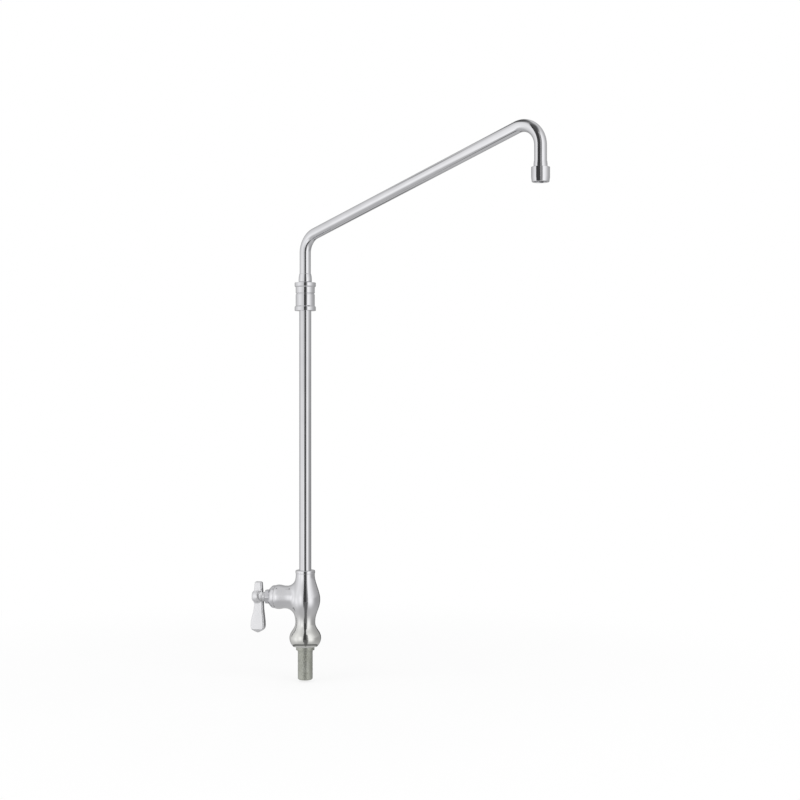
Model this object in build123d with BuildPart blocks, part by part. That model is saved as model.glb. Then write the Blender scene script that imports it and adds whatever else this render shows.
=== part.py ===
from build123d import *
from math import cos, radians, sin, sqrt
import os

# Single tap with a side valve, a tall riser and a swinging spout, for one hole in a worktop.
# Millimetres. The origin is the centre of the underside of the base, on the worktop, and +Z is up.
# The valve points along -X. The spout at rest is swung away from +X, as in the photograph.

# Clearances shared by the pieces
fixed_fit = 0.05            # radial, between a piece and the socket it is fixed in
running_fit = 0.06          # radial, between a turning piece and its bore
seal_fit = 0.03             # radial, between a sealing ring and the wall it wipes
face_gap = 0.1              # axial, between faces that turn on each other
ferrule_gap = 0.3           # the ferrule above the nut that it turns over

# Inlet shank below the worktop
shank_radius = 10.65
shank_length = 47.3
shank_bore_radius = 5.5
shank_chamfer = 1.6
collar_radius = 13.1
collar_height = 5.4
register_radius = 12.6      # shoulder of the collar, let into the base
register_depth = 1.0
relief_gap = 0.2            # round the top of the collar, so that the base rests on its rim
relief_depth = 0.4
spigot_radius = 9.0
spigot_length = 15.0

# Column of the body, from the worktop up
foot_radius = 17.5
base_radius = 22.5
base_height = 11.4
waist_radius = 14.1
waist_height = 34.0
belly_radius = 21.2
belly_height = 66.7
neck_radius = 13.4
neck_length = 2.3           # straight stretch under the rim
rim_radius = 13.9
rim_height = 4.6
body_height = 107.9
riser_socket_depth = 17.0
supply_passage_radius = 5.0

# Valve branch of the body
valve_height = 69.0
branch_radius = 16.1
branch_length = 43.1
branch_neck = 28.0          # from the column's axis to where the swell of the bead begins
bead_radius = 17.3
bead_distance = 37.2
branch_end_radius = 16.5
branch_blend = 13.0
chamber_radius = 11.0
seat_distance = 8.0
seat_bore_radius = 4.6
outlet_passage_radius = 3.4
outlet_passage_distance = 17.0

# Bonnet and packing nut on the valve's axis, lengths from the face that each sits on
gasket_thickness = 1.0
gasket_inset = 1.2
bonnet_radius = 16.4
bonnet_shoulder = 3.6
bonnet_shoulder_drop = 0.5
bonnet_shoulder_round = 3.0
bonnet_cone = 4.6
bonnet_nose_radius = 11.2
bonnet_spigot_length = 19.0
bonnet_bore_radius = 8.2
gland_radius = 8.6
gland_length = 4.4
packing_recess_radius = 6.9
packing_recess_depth = 6.5
packing_length = 3.2
nut_width = 18.8            # across the flats
nut_length = 5.9
nut_lip = 1.4
nut_crown_length = 1.6
nut_crown_drop = 0.6

# Cartridge inside the valve chamber
seal_thickness = 2.0
seal_radius = 9.0
seal_bore_radius = 7.5      # clears the ports of the disc that it seats
disc_radius = 10.0
disc_thickness = 3.4
disc_port_radius = 2.3
disc_port_offset = 5.0
sleeve_wall = 0.7
port_width = 7.0
port_length = 6.0
port_corner = 1.5
port_count = 4

# Spindle
spindle_radius = 4.9
driver_radius = 8.6
driver_length = 2.6
driver_width = 5.0          # a bar between the ports of the moving disc
tang_width = 3.0
tang_length = 13.0
tang_depth = 1.6
shoulder_radius = 7.6
shoulder_length = 2.4
square_width = 6.6
square_length = 9.6
ring_section = 1.3          # sealing rings on the spindle
spindle_ring_spacing = 4.2

# Lever handle
hub_radius = 9.2
hub_distance = 68.9
hub_boss_radius = 7.4       # round boss towards the packing nut
hub_boss_length = 10.0      # from the middle of the ball
lever_distance = 66.8       # line of the lever, from the column's axis
lever_neck_width = 13.2
lever_neck_drop = 12.0
lever_end_width = 20.9
lever_sweep = 2.2           # the end stands outward of the neck
lever_length = 52.2
lever_point_height = 5.6    # of the blunt point that ends the paddle
lever_corner_round = 2.4
lever_point_round = 5.0
lever_neck_thickness = 9.6
lever_end_thickness = 12.6
lever_tip_thickness = 7.6
lever_bevel = 2.2
nub_height = 21.2
nub_base_width = 13.4
nub_top_width = 10.6
nub_thickness = 8.2
nub_edge = 2.4
screw_radius = 2.0
screw_head_radius = 3.7
screw_head_height = 2.4
screw_length = 12.0
screw_slot_width = 1.0
screw_slot_depth = 1.1
web_thickness = 2.4
cap_radius = 5.3
cap_thickness = 3.0
cap_dome = 0.9

# Riser
riser_radius = 8.55
riser_wall = 1.9
riser_length = 398.0

# Swivel at the top of the riser
swivel_socket_depth = 13.0
flange_radius = 15.1
flange_height = 7.0
swivel_radius = 13.6
swivel_height = 23.5        # from the underside of the flange to the nut
groove_depth = 1.0
groove_height = 1.2
swivel_floor = 4.0
thread_radius = 11.7
thread_length = 10.8
swivel_bore_radius = 9.8
nut_skirt = 8.6
nut_flange = 6.7
washer_thickness = 1.0
swivel_ring_section = 1.25
swivel_ring_spacing = 5.0
edge_round = 0.6

# Spout
spout_rest_angle = -30.0    # about +Z from +X
tube_radius = 7.95
tube_wall = 1.3
spout_reach = 406.4
stub_height = 62.5          # from the top of the nut to the lower corner of the spout's line
spout_rise = 124.8
outlet_drop = 70.1
bend_radius = 28.0
ferrule_radius = 9.4
ferrule_height = 12.2
thin_lip = 0.3              # wall left at the thin end of the ferrule and of the outlet nipple
foot_seat = 3.0             # the tube's end above the underside of its foot

# Stream regulator at the outlet
nipple_radius = 10.0
nipple_length = 9.9
nipple_neck_radius = 8.7
nipple_neck_height = 8.0
nipple_neck_straight = 4.0
nipple_end = 5.0            # the nipple reaches below the tube's end
regulator_radius = 11.7
regulator_height = 18.7
regulator_taper = 0.8
regulator_taper_height = 5.8
regulator_lip_radius = 8.4
regulator_lip = 2.0
insert_thickness = 4.6
insert_hole_radius = 0.95
insert_ring_pitch = 2.85
regulator_washer_thickness = 1.5
regulator_washer_bore = 7.2

os.makedirs("parts", exist_ok=True)

# Heights and distances that follow from the sizes above
neck_height = body_height - rim_height - neck_length
riser_base = body_height - riser_socket_depth
riser_top = riser_base + riser_length
swivel_base = riser_top - swivel_socket_depth
swivel_seat = riser_top + swivel_floor
nut_base = swivel_base + swivel_height + groove_height
nut_top = nut_base + nut_skirt + nut_flange
thread_top = nut_base + thread_length
foot_base = swivel_seat + washer_thickness
foot_top = thread_top - washer_thickness - face_gap
tube_base = foot_base + foot_seat
lower_corner = nut_top + stub_height
upper_corner = lower_corner + spout_rise
tube_end = upper_corner - outlet_drop

bonnet_seat = branch_length + gasket_thickness
bonnet_nose = bonnet_seat + bonnet_shoulder + bonnet_cone
gland_end = bonnet_nose + gland_length
nut_end = bonnet_nose + face_gap + nut_length
disc_seat = seat_distance + seal_thickness
moving_disc_seat = disc_seat + disc_thickness + face_gap
driver_seat = moving_disc_seat + disc_thickness
spigot_end = bonnet_seat - bonnet_spigot_length
hub_inner_face = hub_distance - hub_boss_length
spindle_end = hub_inner_face + square_length
screw_seat = spindle_end + web_thickness
cap_seat = screw_seat + screw_head_height + 2 * face_gap

valve_origin = Vector(0, 0, valve_height)
valve_axis = Axis(valve_origin, Vector(-1, 0, 0))
# In this plane the first number is the distance from the column along the valve, the second the radius
valve_plane = Plane(origin=valve_origin, x_dir=(-1, 0, 0), z_dir=(0, 1, 0))

swing = radians(spout_rest_angle)
spout_direction = Vector(cos(swing), sin(swing), 0)
spout_normal = Vector(sin(swing), -cos(swing), 0)
spout_plane = Plane(origin=(0, 0, 0), x_dir=spout_direction, z_dir=spout_normal)
outlet_origin = spout_direction * spout_reach
outlet_plane = Plane(origin=outlet_origin, x_dir=spout_direction, z_dir=spout_normal)
outlet_axis = Axis(outlet_origin, Vector(0, 0, 1))


def across_valve(distance):
    """Plane square to the valve's axis, at this distance from the column, facing outward."""
    origin = valve_origin + Vector(-distance, 0, 0)
    return Plane(origin=origin, x_dir=(0, 1, 0), z_dir=(-1, 0, 0))


def rising_curve(start, end, lean):
    """Curve between two stations of the column that leaves and arrives upright."""
    rise = (end[1] - start[1]) * lean
    return Bezier(start, (start[0], start[1] + rise), (end[0], end[1] - rise), end)


# Body: the turned column with its side branch, one casting
with BuildPart() as body:
    with BuildSketch(Plane.XZ):
        with BuildLine():
            foot_mid = (foot_radius + 0.7 * (base_radius - foot_radius), base_height * 0.45)
            Line((0, 0), (foot_radius, 0))
            ThreePointArc((foot_radius, 0), foot_mid, (base_radius, base_height))
            rising_curve((base_radius, base_height), (waist_radius, waist_height), 0.45)
            rising_curve((waist_radius, waist_height), (belly_radius, belly_height), 0.42)
            rising_curve((belly_radius, belly_height), (neck_radius, neck_height), 0.3)
            Polyline(
                (neck_radius, neck_height),
                (neck_radius, body_height - rim_height),
                (rim_radius, body_height - rim_height + (rim_radius - neck_radius)),
                (rim_radius, body_height),
                (0, body_height),
                (0, 0),
            )
        make_face()
    revolve(axis=Axis.Z)
    with BuildSketch(valve_plane):
        with BuildLine():
            Polyline((branch_length, branch_end_radius), (branch_length, 0), (0, 0), (0, branch_radius))
            Line((0, branch_radius), (branch_neck, branch_radius))
            Spline(
                (branch_neck, branch_radius),
                (bead_distance, bead_radius),
                (branch_length, branch_end_radius),
                tangents=[(1, 0), (1, -0.35)],
            )
        make_face()
    revolve(axis=valve_axis)
    fillet(body.edges(Select.NEW), radius=branch_blend)
    rim_edge = body.edges().filter_by(GeomType.CIRCLE).sort_by(Axis.Z)[-1]
    fillet(rim_edge, radius=edge_round)
    with BuildSketch(Plane.XY.offset(body_height)):
        Circle(riser_radius + fixed_fit)
    extrude(amount=-riser_socket_depth, mode=Mode.SUBTRACT)
    with BuildSketch(Plane.XY):
        Circle(collar_radius + relief_gap)
    extrude(amount=relief_depth, mode=Mode.SUBTRACT)
    with BuildSketch(Plane.XY):
        Circle(register_radius + fixed_fit)
    extrude(amount=register_depth, mode=Mode.SUBTRACT)
    with BuildSketch(Plane.XY):
        Circle(spigot_radius + fixed_fit)
    extrude(amount=spigot_length, mode=Mode.SUBTRACT)
    with BuildSketch(Plane.XY):
        Circle(supply_passage_radius)
    extrude(amount=valve_height + supply_passage_radius, mode=Mode.SUBTRACT)
    with BuildSketch(across_valve(branch_length)):
        Circle(chamber_radius)
    extrude(amount=seat_distance - branch_length, mode=Mode.SUBTRACT)
    with BuildSketch(across_valve(seat_distance)):
        Circle(seat_bore_radius)
    extrude(amount=-seat_distance, mode=Mode.SUBTRACT)
    # Slanting passage from the chamber up to the foot of the riser
    passage_start = Vector(-outlet_passage_distance, 0, valve_height + chamber_radius - outlet_passage_radius)
    passage_end = Vector(0, 0, riser_base + outlet_passage_radius)
    passage_line = passage_end - passage_start
    with BuildSketch(Plane(origin=passage_start, x_dir=(0, 1, 0), z_dir=passage_line)):
        Circle(outlet_passage_radius)
    extrude(amount=passage_line.length, mode=Mode.SUBTRACT)
body.part.label = "body"
export_step(body.part, "parts/body.step")

# Inlet shank: threaded pipe below the worktop, with a collar that centres the tap in its hole
with BuildPart() as inlet_shank:
    with BuildSketch(Plane.XZ):
        with BuildLine():
            Polyline(
                (shank_bore_radius, -shank_length),
                (shank_radius - shank_chamfer, -shank_length),
                (shank_radius, -shank_length + shank_chamfer),
                (shank_radius, -collar_height),
                (collar_radius - edge_round, -collar_height),
                (collar_radius, -collar_height + edge_round),
                (collar_radius, 0),
                (register_radius, 0),
                (register_radius, register_depth),
                (spigot_radius, register_depth),
                (spigot_radius, spigot_length),
                (shank_bore_radius, spigot_length),
                close=True,
            )
        make_face()
    revolve(axis=Axis.Z)
inlet_shank.part.label = "inlet_shank"
export_step(inlet_shank.part, "parts/inlet_shank.step")

# Riser tube
with BuildPart() as riser_tube:
    with BuildSketch(Plane.XY.offset(riser_base)):
        Circle(riser_radius)
        Circle(riser_radius - riser_wall, mode=Mode.SUBTRACT)
    extrude(amount=riser_length)
riser_tube.part.label = "riser_tube"
export_step(riser_tube.part, "parts/riser_tube.step")

# Swivel body: flanged cup on the riser, with an outside thread for the nut
with BuildPart() as swivel_body:
    body_top = swivel_base + swivel_height
    with BuildSketch(Plane.XZ):
        with BuildLine():
            Polyline(
                (riser_radius + fixed_fit, swivel_base),
                (flange_radius, swivel_base),
                (flange_radius, swivel_base + flange_height - (flange_radius - swivel_radius)),
                (swivel_radius, swivel_base + flange_height),
                (swivel_radius, body_top),
                (swivel_radius - groove_depth, body_top),
                (swivel_radius - groove_depth, nut_base),
                (thread_radius, nut_base),
                (thread_radius, thread_top),
                (swivel_bore_radius, thread_top),
                (swivel_bore_radius, swivel_seat),
                (riser_radius - riser_wall, swivel_seat),
                (riser_radius - riser_wall, riser_top),
                (riser_radius + fixed_fit, riser_top),
                close=True,
            )
        make_face()
    revolve(axis=Axis.Z)
    flange_edges = swivel_body.edges().filter_by(GeomType.CIRCLE).filter_by(
        lambda e: abs(e.radius - flange_radius) < 0.01
    )
    fillet(flange_edges, radius=edge_round)
swivel_body.part.label = "swivel_body"
export_step(swivel_body.part, "parts/swivel_body.step")

# Swivel nut: holds the spout's foot down in the cup
with BuildPart() as swivel_nut:
    flange_base = nut_base + nut_skirt
    with BuildSketch(Plane.XZ):
        with BuildLine():
            Polyline(
                (thread_radius + fixed_fit, nut_base),
                (swivel_radius, nut_base),
                (swivel_radius, flange_base),
                (flange_radius, flange_base + (flange_radius - swivel_radius)),
                (flange_radius, nut_top),
                (tube_radius + running_fit, nut_top),
                (tube_radius + running_fit, thread_top),
                (thread_radius + fixed_fit, thread_top),
                close=True,
            )
        make_face()
    revolve(axis=Axis.Z)
    nut_flange_edges = swivel_nut.edges().filter_by(GeomType.CIRCLE).filter_by(
        lambda e: abs(e.radius - flange_radius) < 0.01
    )
    fillet(nut_flange_edges, radius=edge_round)
swivel_nut.part.label = "swivel_nut"
export_step(swivel_nut.part, "parts/swivel_nut.step")

# Thrust washers under and over the spout's foot
with BuildPart() as lower_thrust_washer:
    with BuildSketch(Plane.XY.offset(swivel_seat)):
        Circle(swivel_bore_radius - fixed_fit)
        Circle(riser_radius - riser_wall, mode=Mode.SUBTRACT)
    extrude(amount=washer_thickness)
lower_thrust_washer.part.label = "lower_thrust_washer"
export_step(lower_thrust_washer.part, "parts/lower_thrust_washer.step")

with BuildPart() as upper_thrust_washer:
    with BuildSketch(Plane.XY.offset(thread_top - washer_thickness)):
        Circle(swivel_bore_radius - fixed_fit)
        Circle(tube_radius + running_fit, mode=Mode.SUBTRACT)
    extrude(amount=washer_thickness)
upper_thrust_washer.part.label = "upper_thrust_washer"
export_step(upper_thrust_washer.part, "parts/upper_thrust_washer.step")

# Spout foot: sleeve on the tube that turns in the cup, grooved for two sealing rings
foot_radius_outer = swivel_bore_radius - running_fit
foot_groove_radius = foot_radius_outer - swivel_ring_section
foot_middle = (foot_base + foot_top) / 2
foot_ring_heights = [foot_middle - swivel_ring_spacing / 2, foot_middle + swivel_ring_spacing / 2]
with BuildPart() as spout_foot:
    with BuildSketch(Plane.XZ):
        with BuildLine():
            Polyline(
                (tube_radius - tube_wall, foot_base),
                (foot_radius_outer, foot_base),
                (foot_radius_outer, foot_top),
                (tube_radius + fixed_fit, foot_top),
                (tube_radius + fixed_fit, tube_base),
                (tube_radius - tube_wall, tube_base),
                close=True,
            )
        make_face()
        for height in foot_ring_heights:
            with Locations((foot_radius_outer, height)):
                Rectangle(2 * swivel_ring_section, 1.5 * swivel_ring_section, mode=Mode.SUBTRACT)
    revolve(axis=Axis.Z)
spout_foot.part.label = "spout_foot"
export_step(spout_foot.part, "parts/spout_foot.step")

with BuildPart() as swivel_o_rings:
    with BuildSketch(Plane.XZ):
        ring_width = swivel_ring_section - seal_fit
        for height in foot_ring_heights:
            with Locations((foot_groove_radius + seal_fit + ring_width / 2, height)):
                RectangleRounded(ring_width, ring_width, 0.4 * ring_width)
    revolve(axis=Axis.Z)
swivel_o_rings.part.label = "swivel_o_rings"
export_step(swivel_o_rings.part, "parts/swivel_o_rings.step")

# Spout tube: stub, lower bend, long slope, upper bend and outlet leg
with BuildPart() as spout_tube:
    with BuildLine(spout_plane):
        spout_line = FilletPolyline(
            (0, tube_base),
            (0, lower_corner),
            (spout_reach, upper_corner),
            (spout_reach, tube_end),
            radius=bend_radius,
        )
    with BuildSketch(Plane.XY.offset(tube_base)):
        Circle(tube_radius)
        Circle(tube_radius - tube_wall, mode=Mode.SUBTRACT)
    sweep(path=spout_line)
spout_tube.part.label = "spout_tube"
export_step(spout_tube.part, "parts/spout_tube.step")

# Ferrule: rounded collar on the tube above the nut
with BuildPart() as spout_ferrule:
    ferrule_base = nut_top + ferrule_gap
    ferrule_bore = tube_radius + fixed_fit
    with BuildSketch(Plane.XZ):
        with BuildLine():
            Polyline(
                (ferrule_bore + thin_lip, ferrule_base + ferrule_height),
                (ferrule_bore, ferrule_base + ferrule_height),
                (ferrule_bore, ferrule_base),
                (ferrule_radius - 0.5, ferrule_base),
            )
            Spline(
                (ferrule_radius - 0.5, ferrule_base),
                (ferrule_radius, ferrule_base + ferrule_height * 0.4),
                (ferrule_bore + thin_lip, ferrule_base + ferrule_height),
                tangents=[(0.4, 1), (-0.25, 1)],
            )
        make_face()
    revolve(axis=Axis.Z)
spout_ferrule.part.label = "spout_ferrule"
export_step(spout_ferrule.part, "parts/spout_ferrule.step")

# Outlet nipple: threaded end fixed on the tube
nipple_base = tube_end - nipple_end
nipple_top = nipple_base + nipple_length
with BuildPart() as outlet_nipple:
    with BuildSketch(outlet_plane):
        with BuildLine():
            Polyline(
                (tube_radius - tube_wall, nipple_base),
                (nipple_radius, nipple_base),
                (nipple_radius, nipple_top),
                (nipple_neck_radius, nipple_top),
                (nipple_neck_radius, nipple_top + nipple_neck_straight),
                (tube_radius + fixed_fit + thin_lip, nipple_top + nipple_neck_height),
                (tube_radius + fixed_fit, nipple_top + nipple_neck_height),
                (tube_radius + fixed_fit, tube_end),
                (tube_radius - tube_wall, tube_end),
                close=True,
            )
        make_face()
    revolve(axis=outlet_axis)
outlet_nipple.part.label = "outlet_nipple"
export_step(outlet_nipple.part, "parts/outlet_nipple.step")

# Stream regulator: housing, washer and perforated insert
regulator_washer_base = nipple_base - regulator_washer_thickness
insert_base = regulator_washer_base - insert_thickness
regulator_base = insert_base - regulator_lip
regulator_bore = nipple_radius + fixed_fit
with BuildPart() as regulator_housing:
    with BuildSketch(outlet_plane):
        with BuildLine():
            Polyline(
                (regulator_lip_radius, regulator_base),
                (regulator_radius - regulator_taper, regulator_base),
                (regulator_radius, regulator_base + regulator_taper_height),
                (regulator_radius, regulator_base + regulator_height),
                (regulator_bore, regulator_base + regulator_height),
                (regulator_bore, insert_base),
                (regulator_lip_radius, insert_base),
                close=True,
            )
        make_face()
    revolve(axis=outlet_axis)
    housing_edges = regulator_housing.edges().filter_by(GeomType.CIRCLE).sort_by(Axis.Z)
    fillet(housing_edges.filter_by(lambda e: e.radius > regulator_bore + edge_round)[-1], radius=edge_round)
    fillet(housing_edges.filter_by(lambda e: e.radius > regulator_bore)[0], radius=edge_round)
regulator_housing.part.label = "regulator_housing"
export_step(regulator_housing.part, "parts/regulator_housing.step")

with BuildPart() as regulator_washer:
    with BuildSketch(Plane.XY.offset(regulator_washer_base)):
        with Locations(outlet_origin):
            Circle(nipple_radius - fixed_fit)
            Circle(regulator_washer_bore, mode=Mode.SUBTRACT)
    extrude(amount=regulator_washer_thickness)
regulator_washer.part.label = "regulator_washer"
export_step(regulator_washer.part, "parts/regulator_washer.step")

with BuildPart() as flow_insert:
    with BuildSketch(Plane.XY.offset(insert_base)):
        with Locations(outlet_origin):
            Circle(nipple_radius - fixed_fit)
            Circle(insert_hole_radius, mode=Mode.SUBTRACT)
            with PolarLocations(insert_ring_pitch, 6):
                Circle(insert_hole_radius, mode=Mode.SUBTRACT)
            with PolarLocations(2 * insert_ring_pitch, 12):
                Circle(insert_hole_radius, mode=Mode.SUBTRACT)
    extrude(amount=insert_thickness)
flow_insert.part.label = "flow_insert"
export_step(flow_insert.part, "parts/flow_insert.step")

# Bonnet: screws into the branch and carries the spindle and the packing nut
spindle_bore = spindle_radius + running_fit
bonnet_shoulder_end = bonnet_seat + bonnet_shoulder
with BuildPart() as bonnet:
    with BuildSketch(valve_plane):
        with BuildLine():
            Polyline(
                (bonnet_shoulder_end, bonnet_radius - bonnet_shoulder_drop),
                (bonnet_nose, bonnet_nose_radius),
                (bonnet_nose, gland_radius),
                (gland_end, gland_radius),
                (gland_end, packing_recess_radius),
                (gland_end - packing_recess_depth, packing_recess_radius),
                (gland_end - packing_recess_depth, spindle_bore),
                (bonnet_seat - shoulder_length, spindle_bore),
                (bonnet_seat - shoulder_length, bonnet_bore_radius),
                (spigot_end, bonnet_bore_radius),
                (spigot_end, chamber_radius - fixed_fit),
                (bonnet_seat, chamber_radius - fixed_fit),
                (bonnet_seat, bonnet_radius),
            )
            TangentArc(
                (bonnet_seat, bonnet_radius),
                (bonnet_shoulder_end, bonnet_radius - bonnet_shoulder_drop),
                tangent=(1, 0),
            )
        make_face()
    revolve(axis=valve_axis)
    shoulder_edge = bonnet.edges().filter_by(GeomType.CIRCLE).filter_by(
        lambda e: abs(e.radius - bonnet_radius + bonnet_shoulder_drop) < 0.01
    )
    fillet(shoulder_edge, radius=bonnet_shoulder_round)
bonnet.part.label = "bonnet"
export_step(bonnet.part, "parts/bonnet.step")

with BuildPart() as bonnet_gasket:
    with BuildSketch(across_valve(branch_length)):
        Circle(branch_end_radius - gasket_inset)
        Circle(chamber_radius + fixed_fit, mode=Mode.SUBTRACT)
    extrude(amount=gasket_thickness)
bonnet_gasket.part.label = "bonnet_gasket"
export_step(bonnet_gasket.part, "parts/bonnet_gasket.step")

# Packing nut: small hexagon that presses the packing round the spindle
nut_seat = bonnet_nose + face_gap
with BuildPart() as packing_nut:
    with BuildSketch(across_valve(nut_seat)):
        RegularPolygon(nut_width / 2, 6, major_radius=False, rotation=0)
    extrude(amount=nut_length)
    with BuildSketch(across_valve(nut_seat)):
        Circle(gland_radius + fixed_fit)
    extrude(amount=nut_length - nut_lip, mode=Mode.SUBTRACT)
    with BuildSketch(across_valve(nut_seat)):
        Circle(spindle_bore)
    extrude(amount=nut_length, mode=Mode.SUBTRACT)
    # Rounded crown on the outer end
    with BuildSketch(valve_plane):
        with BuildLine():
            crown = nut_width / sqrt(3)
            Polyline(
                (nut_seat, 0),
                (nut_end, 0),
                (nut_end, nut_width / 2 - nut_crown_drop),
                (nut_end - nut_crown_length, crown),
                (nut_seat, crown),
                close=True,
            )
        make_face()
    revolve(axis=valve_axis, mode=Mode.INTERSECT)
packing_nut.part.label = "packing_nut"
export_step(packing_nut.part, "parts/packing_nut.step")

with BuildPart() as stem_packing:
    with BuildSketch(across_valve(gland_end - packing_recess_depth)):
        Circle(packing_recess_radius - fixed_fit)
        Circle(spindle_bore, mode=Mode.SUBTRACT)
    extrude(amount=packing_length)
stem_packing.part.label = "stem_packing"
export_step(stem_packing.part, "parts/stem_packing.step")

# Follower ring between the packing and the lip of the packing nut
with BuildPart() as gland_follower:
    with BuildSketch(across_valve(gland_end - packing_recess_depth + packing_length)):
        Circle(packing_recess_radius - fixed_fit)
        Circle(spindle_bore, mode=Mode.SUBTRACT)
    extrude(amount=nut_end - nut_lip - gland_end + packing_recess_depth - packing_length)
gland_follower.part.label = "gland_follower"
export_step(gland_follower.part, "parts/gland_follower.step")

# Spindle: driver at the disc, shoulder under the bonnet, square end in the hub
shoulder_outer = bonnet_seat - shoulder_length - face_gap
spindle_ring_middle = (shoulder_outer + gland_end - packing_recess_depth) / 2
spindle_ring_places = [
    spindle_ring_middle - spindle_ring_spacing / 2,
    spindle_ring_middle + spindle_ring_spacing / 2,
]
with BuildPart() as spindle:
    with BuildSketch(valve_plane):
        with BuildLine():
            Polyline(
                (driver_seat, 0),
                (driver_seat, driver_radius),
                (driver_seat + driver_length, driver_radius),
                (driver_seat + driver_length, spindle_radius),
                (shoulder_outer - shoulder_length, spindle_radius),
                (shoulder_outer - shoulder_length, shoulder_radius),
                (shoulder_outer, shoulder_radius),
                (shoulder_outer, spindle_radius),
                (hub_inner_face, spindle_radius),
                (hub_inner_face, 0),
                close=True,
            )
        make_face()
        for place in spindle_ring_places:
            with Locations((place, spindle_radius)):
                Rectangle(1.5 * ring_section, 2 * ring_section, mode=Mode.SUBTRACT)
    revolve(axis=valve_axis)
    with BuildSketch(across_valve(driver_seat)):
        Rectangle(2 * driver_radius, 2 * driver_radius)
        Rectangle(driver_width, 2 * driver_radius, mode=Mode.SUBTRACT)
    extrude(amount=driver_length, mode=Mode.SUBTRACT)
    with BuildSketch(across_valve(hub_inner_face)):
        Rectangle(square_width, square_width)
    extrude(amount=square_length)
    with BuildSketch(across_valve(driver_seat)):
        Rectangle(tang_width, tang_length)
    extrude(amount=-tang_depth)
    with BuildSketch(across_valve(spindle_end)):
        Circle(screw_radius + fixed_fit)
    extrude(amount=web_thickness - screw_length, mode=Mode.SUBTRACT)
spindle.part.label = "spindle"
export_step(spindle.part, "parts/spindle.step")

with BuildPart() as spindle_o_rings:
    with BuildSketch(valve_plane):
        ring_width = ring_section - seal_fit
        for place in spindle_ring_places:
            with Locations((place, spindle_radius - ring_section + seal_fit + ring_width / 2)):
                RectangleRounded(ring_width, ring_width, 0.4 * ring_width)
    revolve(axis=valve_axis)
spindle_o_rings.part.label = "spindle_o_rings"
export_step(spindle_o_rings.part, "parts/spindle_o_rings.step")

# Cartridge: sleeve with side ports, two ceramic discs and the seal at the seat
sleeve_radius = chamber_radius - fixed_fit
with BuildPart() as cartridge_sleeve:
    with BuildSketch(across_valve(disc_seat)):
        Circle(sleeve_radius)
        Circle(sleeve_radius - sleeve_wall, mode=Mode.SUBTRACT)
    extrude(amount=spigot_end - disc_seat)
    port_middle = (driver_seat + spigot_end) / 2
    for pair in range(port_count // 2):
        turn = radians(360 * pair / port_count)
        port_origin = valve_origin + Vector(-port_middle, 0, 0)
        with BuildSketch(Plane(origin=port_origin, x_dir=(1, 0, 0), z_dir=(0, sin(turn), cos(turn)))):
            RectangleRounded(port_length, port_width, port_corner)
        extrude(amount=chamber_radius, both=True, mode=Mode.SUBTRACT)
cartridge_sleeve.part.label = "cartridge_sleeve"
export_step(cartridge_sleeve.part, "parts/cartridge_sleeve.step")

with BuildPart() as fixed_disc:
    with BuildSketch(across_valve(disc_seat)):
        Circle(disc_radius)
        with Locations((0, disc_port_offset), (0, -disc_port_offset)):
            Circle(disc_port_radius, mode=Mode.SUBTRACT)
    extrude(amount=disc_thickness)
fixed_disc.part.label = "fixed_disc"
export_step(fixed_disc.part, "parts/fixed_disc.step")

with BuildPart() as moving_disc:
    with BuildSketch(across_valve(moving_disc_seat)):
        Circle(disc_radius)
        with Locations((disc_port_offset, 0), (-disc_port_offset, 0)):
            Circle(disc_port_radius, mode=Mode.SUBTRACT)
    extrude(amount=disc_thickness)
    with BuildSketch(across_valve(driver_seat)):
        Rectangle(tang_width + 2 * fixed_fit, tang_length + 2 * fixed_fit)
    extrude(amount=-tang_depth - fixed_fit, mode=Mode.SUBTRACT)
moving_disc.part.label = "moving_disc"
export_step(moving_disc.part, "parts/moving_disc.step")

with BuildPart() as seat_seal:
    with BuildSketch(across_valve(seat_distance)):
        Circle(seal_radius)
        Circle(seal_bore_radius, mode=Mode.SUBTRACT)
    extrude(amount=seal_thickness)
seat_seal.part.label = "seat_seal"
export_step(seat_seal.part, "parts/seat_seal.step")

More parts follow.
